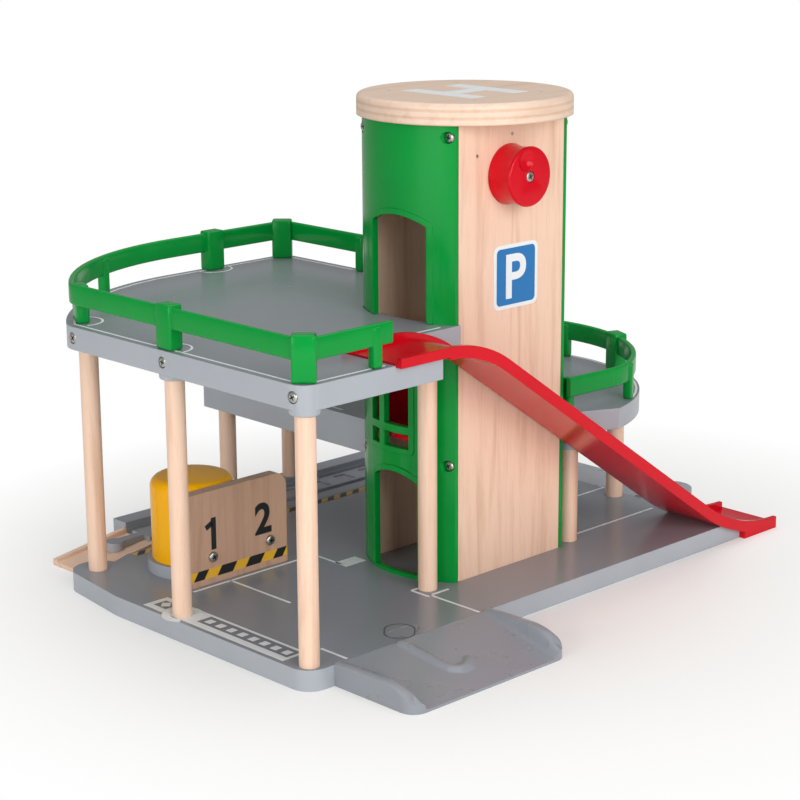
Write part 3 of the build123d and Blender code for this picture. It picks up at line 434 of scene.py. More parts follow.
def finish_of(kind: object) -> Material:
    """Build a finish once and hand out the same material after that.

    Args:
        kind: One of the finishes above.

    Returns:
        Its material.
    """
    if kind.name not in _made:
        _made[kind.name] = kind.material()
    return _made[kind.name]


def piece(name: str, mesh: BMesh, kinds: Sequence[object], body: str = GARAGE,
          replaced: str = "") -> None:
    """Turn a finished bmesh, in metres and in place, into a piece of the part.

    Args:
        name: The piece's name.
        mesh: The shape, freed here.
        kinds: Its finishes, in the order of its material numbers.
        body: The body it rides on.
        replaced: The frame's node that it stands for, if any.
    """
    for face in mesh.faces:
        face.smooth = True
    for edge in mesh.edges:
        edge.smooth = edge.is_manifold and edge.calc_face_angle() < SHARP
    data = bpy.data.meshes.new(name)
    mesh.to_mesh(data)
    mesh.free()
    for kind in kinds:
        data.materials.append(finish_of(kind))
    made = bpy.data.objects.new(name, data)
    bpy.context.scene.collection.objects.link(made)
    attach(made, body)
    if replaced:
        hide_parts(replaced)
    LOG.info("%s: %d faces", name, len(data.polygons))


def unit(value: float) -> float:
    """Clamp a number.

    Args:
        value: Any number.

    Returns:
        The number, no less than 0 and no more than 1.
    """
    return min(1.0, max(0.0, value))


def eased(value: float) -> float:
    """Clamp a number and ease it in and out.

    Args:
        value: Any number.

    Returns:
        A smooth step from 0 to 1.
    """
    value = unit(value)
    return value * value * (3 - 2 * value)


def only(kind: type, geom: Iterable[object]) -> list:
    """Pick the vertices, edges or faces out of what an operator made.

    Args:
        kind: Class of the elements to pick.
        geom: What the operator made.

    Returns:
        The elements of that class, in the same order.
    """
    return [element for element in geom if isinstance(element, kind)]


def bevel(mesh: BMesh, geom: Sequence[object], radius: float, segments: int, affect: str = "EDGES",
          clamp: bool = False) -> None:
    """Round edges or corners.

    Args:
        mesh: The mesh.
        geom: Its edges or vertices to round.
        radius: Radius of the rounding.
        segments: Faces across the rounding.
        affect: "EDGES" or "VERTICES".
        clamp: Whether roundings stop where they meet.
    """
    bmesh.ops.bevel(mesh, geom=geom, offset=radius, affect=affect, segments=segments, profile=0.5,
                    material=-1, clamp_overlap=clamp)


def square(mesh: BMesh, size: Point, place: Matrix) -> list[BMVert]:
    """Add a flat rectangle.

    Args:
        mesh: The mesh it goes into.
        size: Its length along X and Y.
        place: Where its middle goes, and how it is turned.

    Returns:
        Its corners.
    """
    matrix = place @ Matrix.Diagonal((*size, 1, 1))
    return bmesh.ops.create_grid(mesh, x_segments=1, y_segments=1, size=0.5, matrix=matrix)["verts"]


def disc(radius: float, z: float, steps: int) -> BMesh:
    """Spin a level disc about the Z axis.

    Args:
        radius: Its radius.
        z: Its height.
        steps: Its number of corners.

    Returns:
        The disc.
    """
    mesh = bmesh.new()
    ends = [mesh.verts.new((0, 0, z)), mesh.verts.new((radius, 0, z))]
    edge = mesh.edges.new(ends)
    bmesh.ops.spin(mesh, geom=[*ends, edge], cent=(0, 0, 0), axis=(0, 0, 1), dvec=(0, 0, 0),
                   angle=math.tau, steps=steps, use_merge=True)
    bmesh.ops.remove_doubles(mesh, verts=mesh.verts, dist=WELD)
    return mesh


def thicken(mesh: BMesh, height: float) -> list[BMVert]:
    """Raise a flat mesh to a solid.

    Args:
        mesh: The flat mesh.
        height: How far its upper side is lifted.

    Returns:
        The vertices of the upper side.
    """
    top = only(BMVert, bmesh.ops.extrude_face_region(mesh, geom=list(mesh.faces))["geom"])
    bmesh.ops.translate(mesh, verts=top, vec=(0, 0, height))
    return top


def join(mesh: BMesh, part: BMesh, material: int = 0) -> None:
    """Add one bmesh to another and free it.

    Args:
        mesh: The mesh that grows.
        part: The mesh that goes into it.
        material: Number of the material that the part gets.
    """
    for face in part.faces:
        face.material_index = material
    data = bpy.data.meshes.new("part")
    part.to_mesh(data)
    part.free()
    mesh.from_mesh(data)
    bpy.data.meshes.remove(data)


@dataclass(frozen=True)
class Step:
    """One step of a path: a shift by a vector, or a turn about it by an angle in degrees."""

    vector: Vector
    angle: float = 0.0

    def turn(self, mesh: BMesh, geom: Sequence[object], fineness: float) -> list:
        """Spin a section round the bend.

        Args:
            mesh: The mesh.
            geom: The section.
            fineness: Degrees between two copies of the section.

        Returns:
            The section at the end of the bend.
        """
        return bmesh.ops.spin(mesh, geom=geom, cent=self.vector, axis=(0, 0, 1), dvec=(0, 0, 0),
                              angle=math.radians(self.angle), use_merge=False,
                              steps=max(3, int(abs(self.angle) / fineness)))["geom_last"]


def path(at: Vector, heading: float, moves: Moves) -> Iterator[Step]:
    """Follow a path.

    Args:
        at: Where it begins.
        heading: Its first direction, in degrees from +X.
        moves: A length for each straight, or a radius and a signed angle for each bend.

    Yields:
        Its steps.
    """
    for move in moves:
        ahead = Matrix.Rotation(math.radians(heading), 3, "Z")
        if len(move) == 1:
            shift = ahead @ Vector((move[0], 0, 0))
            at = at + shift
            yield Step(shift)
        else:
            radius, angle = move
            centre = at + ahead @ Vector((0, math.copysign(radius, angle), 0))
            at = centre + Matrix.Rotation(math.radians(angle), 3, "Z") @ (at - centre)
            heading += angle
            yield Step(centre, angle)


@dataclass
class PrintSheet:
    """A thin film of ink on one plane. Shapes are laid out flat in millimetres, then raised and placed."""

    name: str
    ink: PadPrint
    place: Matrix
    thickness: float = PRINT_T
    mesh: BMesh = field(default_factory=bmesh.new)

    def rectangle(self, low: Point, high: Point, turn: float = 0.0) -> None:
        """Lay a rectangle between two corners, turned about its middle.

        Args:
            low: Its lower left corner.
            high: Its upper right corner.
            turn: Degrees it is turned by.
        """
        middle = ((low[0] + high[0]) / 2, (low[1] + high[1]) / 2, 0)
        square(self.mesh, (high[0] - low[0], high[1] - low[1]),
               Matrix.Translation(middle) @ Matrix.Rotation(math.radians(turn), 4, "Z"))

    def bar(self, low: Point, size: Point, lean: float) -> None:
        """Lay a slanted bar.

        Args:
            low: Its lower left corner.
            size: Its width and height.
            lean: How far its top is moved to the right.
        """
        middle = (low[0] + size[0] / 2 + lean / 2, low[1] + size[1] / 2, 0)
        slant = Matrix.Identity(4)
        slant[0][1] = lean / size[1]
        square(self.mesh, size, Matrix.Translation(middle) @ slant)

    def ring(self, middle: Point, radius: float, width: float, start: float = 0.0,
             sweep: float = 360.0) -> None:
        """Lay a ring or an arc.

        Args:
            middle: Its centre.
            radius: Radius of its middle line.
            width: Its width.
            start: Angle in degrees at which it begins.
            sweep: Degrees that it runs through, to the left.
        """
        turn = Matrix.Rotation(math.radians(start), 4, "Z")
        ends = [self.mesh.verts.new(Vector((*middle, 0)) + turn @ Vector((r, 0, 0)))
                for r in (radius - width / 2, radius + width / 2)]
        edge = self.mesh.edges.new(ends)
        bmesh.ops.spin(self.mesh, geom=[*ends, edge], cent=(*middle, 0), axis=(0, 0, 1), dvec=(0, 0, 0),
                       angle=math.radians(sweep), steps=max(6, int(sweep / 6)), use_merge=sweep >= 360)

    def line(self, start: Point, heading: float, width: float, moves: Moves) -> None:
        """Draw a line of ink.

        Args:
            start: Where the line begins.
            heading: Its first direction, in degrees from +X.
            width: The line's width.
            moves: The path's moves.
        """
        at = Vector((*start, 0))
        side = Matrix.Rotation(math.radians(heading), 3, "Z") @ Vector((0, width / 2, 0))
        edge = self.mesh.edges.new([self.mesh.verts.new(at - side), self.mesh.verts.new(at + side)])
        for step in path(at, heading, moves):
            if step.angle:
                edge = only(BMEdge, step.turn(self.mesh, [*edge.verts, edge], 5))[0]
            else:
                grown = bmesh.ops.extrude_edge_only(self.mesh, edges=[edge])["geom"]
                moved = only(BMVert, grown)
                bmesh.ops.translate(self.mesh, verts=moved, vec=step.vector)
                edge = next(e for e in only(BMEdge, grown) if all(v in moved for v in e.verts))

    def rounded(self, low: Point, high: Point, radius: float) -> None:
        """Lay a rectangle with round corners.

        Args:
            low: Its lower left corner.
            high: Its upper right corner.
            radius: Radius of the corners.
        """
        before = set(self.mesh.verts)
        self.rectangle(low, high)
        corners = [v for v in self.mesh.verts if v not in before]
        bevel(self.mesh, corners, radius, 7, "VERTICES")

    def writing(self, text: str, middle: Point, height: float, weight: float) -> None:
        """Lay letters or digits.

        Args:
            text: What to write.
            middle: The writing's middle.
            height: Height of a capital.
            weight: How much each stroke is thickened.
        """
        curve = bpy.data.curves.new("writing", "FONT")
        curve.body, curve.align_x, curve.align_y = text, "CENTER", "CENTER"
        curve.offset, curve.resolution_u = weight, 6
        holder = bpy.data.objects.new("writing", curve)
        data = bpy.data.meshes.new_from_object(holder)
        xs, ys = [v.co.x for v in data.vertices], [v.co.y for v in data.vertices]
        scale = height / (max(ys) - min(ys))
        shift = Vector(((max(xs) + min(xs)) / 2, (max(ys) + min(ys)) / 2, 0))
        data.transform(Matrix.Translation((*middle, 0)) @ Matrix.Scale(scale, 4)
                       @ Matrix.Translation(-shift))
        self.mesh.from_mesh(data)
        bpy.data.objects.remove(holder)
        bpy.data.curves.remove(curve)
        bpy.data.meshes.remove(data)

    def done(self, slot: str, body: str = GARAGE) -> None:
        """Raise the film to its thickness, put it in its place and hand over the piece.

        Args:
            slot: The record's material slot; not used.
            body: The body it rides on.
        """
        bmesh.ops.remove_doubles(self.mesh, verts=self.mesh.verts, dist=INK_WELD)
        bmesh.ops.recalc_face_normals(self.mesh, faces=self.mesh.faces)
        for face in self.mesh.faces:
            if face.normal.z < 0:
                face.normal_flip()
        thicken(self.mesh, self.thickness)
        bmesh.ops.recalc_face_normals(self.mesh, faces=self.mesh.faces)
        bmesh.ops.transform(self.mesh, matrix=Matrix.Scale(MM, 4) @ self.place, verts=self.mesh.verts)
        piece(self.name, self.mesh, [self.ink], body)


def flat(z: float) -> Matrix:
    """Give the plane of a level surface.

    Args:
        z: The surface's height.

    Returns:
        Its plane.
    """
    return Matrix.Translation((0, 0, z))


def facing_front(y: float) -> Matrix:
    """Give the plane of an upright face that looks towards -Y, with X to the right and Z up.

    Args:
        y: Where the face is.

    Returns:
        Its plane.
    """
    return Matrix.Translation((0, y, 0)) @ Matrix.Rotation(math.pi / 2, 4, "X")


def frame_copy(node: Object) -> BMesh:
    """Copy a node of the frame, in millimetres, with its doubled corners merged.

    Args:
        node: The node.

    Returns:
        The copy.
    """
    mesh = bmesh.new()
    mesh.from_mesh(node.data)
    bmesh.ops.transform(mesh, matrix=Matrix.Scale(1 / MM, 4) @ node.matrix_world, verts=mesh.verts)
    bmesh.ops.remove_doubles(mesh, verts=mesh.verts, dist=WELD)
    bmesh.ops.dissolve_limit(mesh, angle_limit=math.radians(0.5), verts=mesh.verts, edges=mesh.edges)
    return mesh


def keep_side(mesh: BMesh, at: Point3, way: Point3) -> None:
    """Cut a mesh with a plane, keep one side and close the cut.

    Args:
        mesh: The mesh.
        at: A point of the plane.
        way: Where the side that is kept lies.
    """
    cut = bmesh.ops.bisect_plane(mesh, geom=[*mesh.verts, *mesh.edges, *mesh.faces], dist=INK_WELD,
                                 plane_co=at, plane_no=way, clear_inner=True)["geom_cut"]
    bmesh.ops.holes_fill(mesh, edges=only(BMEdge, cut), sides=0)


def soften(mesh: BMesh, radius: float, segments: int = 2, angle: float = 40.0) -> None:
    """Round every sharp edge.

    Args:
        mesh: The mesh.
        radius: Radius of the rounding.
        segments: Faces across the rounding.
        angle: Degrees from which an edge is sharp.
    """
    sharp = [e for e in mesh.edges if e.is_manifold and e.calc_face_angle() > math.radians(angle)]
    bevel(mesh, sharp, radius, segments, clamp=True)


def metres(mesh: BMesh) -> BMesh:
    """Turn a mesh laid out in millimetres into metres, with its normals outward.

    Args:
        mesh: The mesh.

    Returns:
        The same mesh.
    """
    bmesh.ops.transform(mesh, matrix=Matrix.Scale(MM, 4), verts=mesh.verts)
    bmesh.ops.recalc_face_normals(mesh, faces=mesh.faces)
    return mesh


@dataclass(frozen=True)
class FencePost:
    """One post of a fence: its place, the rail's direction there, and its size beside the rail's top."""

    at: Point
    heading: float
    width: float = 7.0
    depth: float = 6.0
    cap: float = -1.5


@dataclass
class Fence:
    """A moulded fence: one rounded rail swept along a deck's edge, on posts with rounded caps."""

    name: str
    replaced: str
    deck_top: float
    start: Point
    heading: float
    moves: Moves
    posts: Sequence[FencePost]
    top: float = 25.6
    rail_h: float = 13.0
    rail_t: float = 3.8
    rounding: float = 1.4
    post_rounding: float = 1.5

    def rail(self) -> BMesh:
        """Sweep the rail's rounded section along the moves.

        Returns:
            The rail.
        """
        mesh = bmesh.new()
        across_up = Matrix(((0, 0, 1, 0), (1, 0, 0, 0), (0, 1, 0, 0), (0, 0, 0, 1)))
        at = Vector((*self.start, self.deck_top + self.top - self.rail_h / 2))
        corners = square(mesh, (self.rail_t, self.rail_h), Matrix.Translation(at)
                         @ Matrix.Rotation(math.radians(self.heading), 4, "Z") @ across_up)
        bevel(mesh, corners, self.rounding, 3, "VERTICES")
        face = max(mesh.faces, key=lambda f: f.calc_area())
        for step in path(at, self.heading, self.moves):
            if step.angle:
                grown = step.turn(mesh, [face], 4)
            else:
                grown = bmesh.ops.extrude_face_region(mesh, geom=[face])["geom"]
                bmesh.ops.translate(mesh, verts=only(BMVert, grown), vec=step.vector)
            face = only(BMFace, grown)[0]
        return mesh

    def post(self, spec: FencePost) -> BMesh:
        """Make one post, rounded along its edges and on its cap.

        Args:
            spec: What the post is like.

        Returns:
            The post.
        """
        height = self.top + spec.cap
        mesh = bmesh.new()
        place = (Matrix.Translation((*spec.at, self.deck_top + height / 2))
                 @ Matrix.Rotation(math.radians(spec.heading), 4, "Z")
                 @ Matrix.Diagonal((spec.width, spec.depth, height, 1)))
        bmesh.ops.create_cube(mesh, size=1.0, matrix=place)
        soften(mesh, self.post_rounding, 3)
        return mesh

    def build(self, kept: BMesh | None = None) -> None:
        """Build the fence.

        Args:
            kept: Part of the frame's fence that stays as it is, if any.
        """
        mesh = kept or bmesh.new()
        for part in (self.rail(), *(self.post(spec) for spec in self.posts)):
            join(mesh, part)
        piece(self.name, metres(mesh), [GREEN_ABS], replaced=self.replaced)


@dataclass
class Fences:
    """Both fences."""

    frame: dict
    kept_from_y: float = 100.0

    def build(self) -> None:
        """Build both fences, the round deck's with its back part from the frame."""
        broad = {"width": 14.0, "depth": 10.0, "cap": 1.6}
        Fence("upper_fence_moulding", "upper_fence", UPPER_TOP, (-146.0, -84.7), 180.0,
              [(57.0,), (8.7, -90), (198.8,), (17.7, -33.7), (160.7, -56.3), (96.7,), (4.0, -90), (80.0,)],
              [FencePost((-207.3, -80.3), 135, **broad), FencePost((-210.0, 35.0), 90, **broad),
               FencePost((-203.6, 131.0), 68, 14.0, 8.0), FencePost((-41.0, 203.0), 0, **broad),
               FencePost((21.0, 201.0), -45, **broad), FencePost((-158.0, -84.7), 180),
               FencePost((-144.0, 188.6), 26), FencePost((25.7, 124.0), 90)]).build()
        back = frame_copy(self.frame["nodes"]["side_fence"])
        keep_side(back, (0, self.kept_from_y, 0), (0, 1, 0))
        Fence("round_fence_moulding", "side_fence", MID_TOP, (50.0, -45.2), -3.0,
              [(40.0,), (47.2, 28.7), (108.7, 90.0)],
              [FencePost((167.3, 14.0), 67.8, **broad), FencePost((173.9, 66.8), 96),
               FencePost((113.0, -43.0), 26), FencePost((56.0, -39.9), 0, 6.0, 6.6)]).build(back)


@dataclass
class Ramp:
    """A road ramp: a wedge with a raised kerb along each side that ends in a rounded nose."""

    frame: dict
    name: str
    replaced: str
    middle: Point
    turn: float
    rib: tuple[Point, ...] = ()
    width: float = 128.0
    length: float = 64.0
    lip: float = 1.6
    corner: float = 10.0
    edge_w: float = 1.2
    edge_drop: float = 1.0
    kerb_top: float = 15.2
    kerb_w: float = 9.5
    kerb_flare: float = 4.0
    kerb_flank: float = 2.2
    kerb_dip: float = 1.2
    nose: float = 26.0
    nose_h: float = 4.2
    nose_power: float = 1.8
    rib_h: float = 2.2
    rib_reach: float = 4.6
    rib_flank: float = 3.4
    smoothing: int = 4

    def height(self, across: float, out: float) -> float:
        """Give the height of the surface.

        Args:
            across: Distance from the ramp's middle line.
            out: Distance from the board's edge.

        Returns:
            The height above the floor.
        """
        left = 1 - unit(out / self.length)
        road = self.lip + (BOARD_TOP - self.lip) * left
        end = max(0.0, (out - self.length + self.nose) / self.nose)
        crown = (self.kerb_top - (self.kerb_top - self.lip - self.nose_h) * end ** self.nose_power
                 - self.kerb_dip * left ** 6)
        inner = self.width / 2 - self.kerb_w + self.kerb_flare * left
        rise = eased((abs(across) - inner) / self.kerb_flank + 0.5)
        edge = min(1.0, (self.width / 2 - abs(across)) / self.edge_w)
        return road + max(0.0, crown - road) * rise - self.edge_drop * (1 - edge) ** 2

    def ridge(self, across: float, out: float) -> float:
        """Give the height that the hooked rib adds.

        Args:
            across: Distance from the ramp's middle line.
            out: Distance from the board's edge.

        Returns:
            The height above the road, 0 where there is no rib.
        """
        best = math.inf
        for (ax, ay), (bx, by) in zip(self.rib, self.rib[1:]):
            dx, dy = bx - ax, by - ay
            along = unit(((across - ax) * dx + (out - ay) * dy) / (dx * dx + dy * dy))
            best = min(best, math.hypot(across - ax - along * dx, out - ay - along * dy))
        return self.rib_h * eased((self.rib_reach - best) / self.rib_flank)

    def round_corner(self, vert: BMVert) -> None:
        """Pull a point near one of the ramp's two outer corners onto the corner's arc.

        Args:
            vert: The point.
        """
        share_x = (abs(vert.co.x) - self.width / 2 + self.corner) / self.corner
        share_y = (-vert.co.y - self.length + self.corner) / self.corner
        if min(share_x, share_y) > 0:
            pull = max(share_x, share_y) / math.hypot(share_x, share_y)
            vert.co.x = math.copysign(self.width / 2 - self.corner * (1 - share_x * pull), vert.co.x)
            vert.co.y = -(self.length - self.corner * (1 - share_y * pull))

    def build(self) -> None:
        """Build the ramp, with the tongue of the frame's ramp that holds it in the board."""
        mesh = frame_copy(self.frame["nodes"][self.replaced])
        place = Matrix.Translation((*self.middle, 0)) @ Matrix.Rotation(math.radians(self.turn), 4, "Z")
        keep_side(mesh, place @ Vector((0, 0.05, 0)), place.to_3x3() @ Vector((0, 1, 0)))
        sheet = bmesh.new()
        bmesh.ops.create_grid(sheet, x_segments=int(self.width), y_segments=int(self.length), size=0.5,
                              matrix=Matrix.Translation((0, -self.length / 2, 0))
                              @ Matrix.Diagonal((self.width, self.length, 1, 1)))
        top = thicken(sheet, self.lip)
        for vert in top:
            x, out = vert.co.x, -vert.co.y
            vert.co.z = self.height(x, out) + self.ridge(x, out)
        inner = [v for v in top
                 if abs(v.co.x) < self.width / 2 - 0.1 and -self.length + 0.1 < v.co.y < -0.1]
        for _ in range(self.smoothing):
            bmesh.ops.smooth_vert(sheet, verts=inner, factor=0.5, use_axis_z=True)
        for vert in sheet.verts:
            self.round_corner(vert)
        bmesh.ops.transform(sheet, matrix=place, verts=sheet.verts)
        join(mesh, sheet)
        piece(self.name, metres(mesh), [ROAD_ABS], replaced=self.replaced)


@dataclass
class TurnedPieces:
    """Knob and kiosk, softened copies of the frame's pieces."""

    frame: dict
    knob_axis: Point3 = (-3.0, 0.0, 266.5)
    knob_round: float = 0.5
    dimple_turn: float = 112.0
    kiosk_at: Point = (-145.0, 101.0)
    kiosk_r: float = 27.0
    kiosk_low: float = 21.0
    kiosk_top: float = 74.4
    kiosk_round: float = 6.5
    dome: float = 1.5
    board_back: float = 74.1

    def build(self) -> None:
        """Build the knob, turned so that its finger dimple points up, and the kiosk's rounded drum."""
        knob = frame_copy(self.frame["nodes"]["knob"])
        axis = Matrix.Translation(self.knob_axis)
        turn = axis @ Matrix.Rotation(math.radians(-self.dimple_turn), 4, "Y") @ axis.inverted()
        bmesh.ops.transform(knob, matrix=turn, verts=knob.verts)
        soften(knob, self.knob_round, angle=50)
        piece("knob_moulding", metres(knob), [RED_ABS], WINCH, "knob")
        self.kiosk()

    def kiosk(self) -> None:
        """Spin the kiosk's drum with its domed, rounded roof, and cut it flat behind the board."""
        mesh = disc(self.kiosk_r, self.kiosk_low, 56)
        top = thicken(mesh, self.kiosk_top - self.kiosk_low)
        middle = min(top, key=lambda v: v.co.xy.length)
        rim = [e for e in mesh.edges if all(v in top for v in e.verts) and middle not in e.verts]
        bevel(mesh, rim, self.kiosk_round, 7)
        middle = min(mesh.verts, key=lambda v: v.co.xy.length - v.co.z)
        middle.co.z += self.dome
        bmesh.ops.translate(mesh, verts=mesh.verts, vec=(*self.kiosk_at, 0))
        keep_side(mesh, (0, self.board_back, 0), (0, 1, 0))
        piece("kiosk_drum_moulding", metres(mesh), [YELLOW_ABS], replaced="kiosk_drum")


@dataclass
class BoardPrints:
    """White lines, crossing and warning stripe printed on the board."""

    line_w: float = 1.8
    straights: tuple[tuple[Point, float, float], ...] = (
        ((-177.0, 62.0), 0, 92.0), ((-147.0, 5.0), 90, 57.0), ((-76.5, -88.0), 90, 43.0),
        ((-76.5, 36.0), 90, 23.0), ((-184.5, -87.0), 90, 22.0), ((139.0, 26.0), 0, 32.0),
        ((78.0, -30.0), 0, 80.0), ((139.0, 26.0), 90, 60.0))
    crossing_low: Point = (-213.0, -64.0)
    crossing_high: Point = (-194.5, 66.0)
    squares: int = 8
    squares_end: float = 20.0
    square_x: Point = (-205.6, -200.2)
    square_share: float = 0.52
    post_ring: Point = (-207.0, 35.2)
    stripe_low: Point = (-160.0, 142.5)
    stripe_high: Point = (168.0, 148.5)
    bar_pitch: float = 12.0

    def build(self) -> None:
        """Lay all prints of the board."""
        white = PrintSheet("board_lines", WHITE_INK, flat(BOARD_TOP))
        for start, heading, length in self.straights:
            white.line(start, heading, self.line_w, [(length,)])
        white.line((-60.5, -31.8), 180, self.line_w, [(17.7,), (0.9, 90), (12.4,), (0.9, 90), (17.7,)])
        white.rectangle((-77.4, 30.0), (-60.0, 41.0))
        white.rectangle(self.crossing_low, self.crossing_high)
        white.done("grey_plastic")
        self.crossing()
        groove = PrintSheet("ramp_lock_groove", GROOVE, flat(BOARD_TOP))
        groove.line((-128.8, -85.5), 45, 0.8, [(6.0,), (9.0, 180), (6.0,), (9.0, 179)])
        groove.done("grey_plastic")
        self.warning_stripe()

    def crossing(self) -> None:
        """Lay the crossing's grey field on its white strip, and the white squares on the field."""
        (x0, y0), (x1, y1) = self.crossing_low, self.crossing_high
        grey = PrintSheet("crossing_field", ROAD_INK, flat(BOARD_TOP + PRINT_T))
        grey.rectangle((x0 + 5.0, y0 + 2.5), (x1 - 2.5, self.squares_end))
        grey.rectangle((x0 + 4.5, 50.0), (x1 - 4.5, y1 - 4.5))
        grey.done("grey_plastic")
        white = PrintSheet("crossing_squares", WHITE_INK, flat(BOARD_TOP + 2 * PRINT_T))
        pitch = (self.squares_end - y0 - 4.0) / self.squares
        left, right = self.square_x
        for step in range(self.squares):
            low = y0 + 5.0 + step * pitch
            white.rectangle((left, low), (right, low + pitch * self.square_share))
        white.rectangle((-206.5, 53.0), (-200.5, 58.5), 45)
        white.ring(self.post_ring, 10.2, 5.0, -45, 270)
        white.done("grey_plastic")

    def warning_stripe(self) -> None:
        """Lay the yellow and black stripe beside the railway."""
        (x, low), (stop, high) = self.stripe_low, self.stripe_high
        amber = PrintSheet("board_stripe", HAZARD_INK, flat(BOARD_TOP))
        amber.rectangle(self.stripe_low, self.stripe_high)
        amber.done("grey_plastic")
        black = PrintSheet("board_stripe_bars", BLACK_INK, flat(BOARD_TOP + PRINT_T))
        while x + self.bar_pitch < stop:
            black.bar((x, low), (self.bar_pitch / 2, high - low), self.bar_pitch / 2)
            x += self.bar_pitch
        black.done("grey_plastic")


@dataclass
class DeckPrints:
    """White edge lines on the two decks."""

    inset: float = 5.0
    width: float = 1.5
    upper_low: Point = (-216.0, -89.0)
    upper_back: float = 208.5
    upper_corner: float = 13.0
    arc_at: Point = (-75.0, 43.5)
    arc_r: float = 165.0
    line_start: float = -150.0
    ring_r: float = 13.0
    rings: tuple[tuple[Point, float], ...] = (((-210.0, 35.0), -90), ((-203.6, 131.0), -110),
                                              ((-41.0, 203.0), 180))
    round_at: Point = (66.0, 55.0)
    round_r: float = 110.9

    def build(self) -> None:
        """Lay the edge lines that follow both decks' outlines."""
        upper = PrintSheet("upper_deck_lines", WHITE_INK, flat(UPPER_TOP))
        left, front = self.upper_low[0] + self.inset, self.upper_low[1] + self.inset
        bend, arc_r = self.upper_corner - self.inset, self.arc_r - self.inset
        aside = left - self.arc_at[0]
        rise = math.sqrt(arc_r ** 2 - aside ** 2)
        upper.line((self.line_start, front), 180, self.width,
                   [(self.line_start - left - bend,), (bend, -90), (self.arc_at[1] + rise - front - bend,)])
        upper.ring(self.arc_at, arc_r, self.width, 90, math.degrees(math.atan2(rise, aside)) - 90)
        upper.line((self.arc_at[0], self.upper_back - self.inset), 0, self.width,
                   [(98.0,), (2.0, -90), (70.0,)])
        upper.line((-106.0, -38.0), 0, self.width, [(46.0,)])
        upper.done("grey_plastic")
        rings = PrintSheet("upper_deck_rings", WHITE_INK, flat(UPPER_TOP + PRINT_T))
        for middle, start in self.rings:
            rings.ring(middle, self.ring_r, self.width, start, 180)
        rings.done("grey_plastic")
        middle = PrintSheet("mid_deck_lines", WHITE_INK, flat(MID_TOP))
        middle.ring(self.round_at, self.round_r, self.width, -62, 125)
        middle.line((-42.0, 70.0), 90, self.width, [(132.0,)])
        middle.done("grey_plastic")


@dataclass
class BayBoardPrints:
    """Digits and warning band on the wooden board between the bays."""

    digit_h: float = 21.0
    band_low: float = 17.0
    band_h: float = 6.0
    one_foot: Point = (-158.6, 35.0)
    stroke: float = 3.9
    flag_low: Point = (-4.6, -6.4)
    flag_high: Point = (1.2, -2.9)
    flag_turn: float = 28.0
    band_x: Point = (-175.3, -96.2)
    bar_lean: float = 4.0
    black_bars: tuple[Point, ...] = ((-173.5, -165.0), (-154.5, -142.0), (-131.5, -119.0), (-108.5, -100.5))

    def build(self) -> None:
        """Lay the digits and the band."""
        ink = PrintSheet("bay_digits", BLACK_INK, facing_front(BAY_BOARD_Y))
        foot, bottom = self.one_foot
        top = bottom + self.digit_h
        ink.rectangle((foot, bottom), (foot + self.stroke, top))
        (x0, y0), (x1, y1) = self.flag_low, self.flag_high
        ink.rectangle((foot + x0, top + y0), (foot + x1, top + y1), self.flag_turn)
        ink.writing("2", (-116.0, 46.3), self.digit_h, 0.03)
        for start, stop in self.black_bars:
            ink.bar((start, self.band_low), (stop - start, self.band_h), self.bar_lean)
        ink.done("beech")
        amber = PrintSheet("bay_warning_band", HAZARD_INK, facing_front(BAY_BOARD_Y), PRINT_T / 2)
        left, right = self.band_x
        amber.rectangle((left, self.band_low), (right, self.band_low + self.band_h))
        amber.done("beech")


@dataclass
class TowerPrints:
    """Parking sign on the front plate and the landing mark on the roof."""

    sign_low: Point = (-16.0, 182.0)
    sign_high: Point = (23.5, 222.5)
    border: float = 2.4
    corner: float = 4.5
    field_corner: float = 3.0
    letter_h: float = 28.0
    mark_x: float = 19.0
    bar_half: Point = (6.5, 30.0)
    link_half: Point = (12.5, 6.0)

    def build(self) -> None:
        """Lay the sign and the roof mark."""
        front = facing_front(PLATE_FACE_Y)
        (x0, y0), (x1, y1) = self.sign_low, self.sign_high
        white = PrintSheet("parking_sign_border", WHITE_INK, front)
        white.rounded(self.sign_low, self.sign_high, self.corner)
        white.done("beech")
        blue = PrintSheet("parking_sign_field", BLUE_INK, front @ flat(PRINT_T))
        blue.rounded((x0 + self.border, y0 + self.border), (x1 - self.border, y1 - self.border),
                     self.field_corner)
        blue.done("beech")
        letter = PrintSheet("parking_sign_letter", WHITE_INK, front @ flat(2 * PRINT_T))
        letter.writing("P", ((x0 + x1) / 2, (y0 + y1) / 2), self.letter_h, 0.018)
        letter.done("beech")
        roof = PrintSheet("roof_landing_mark", WHITE_INK, flat(ROOF_TOP))
        for at, (x, y) in ((-self.mark_x, self.bar_half), (self.mark_x, self.bar_half),
                           (0, self.link_half)):
            roof.rectangle((at - x, -y), (at + x, y))
        roof.done("beech")


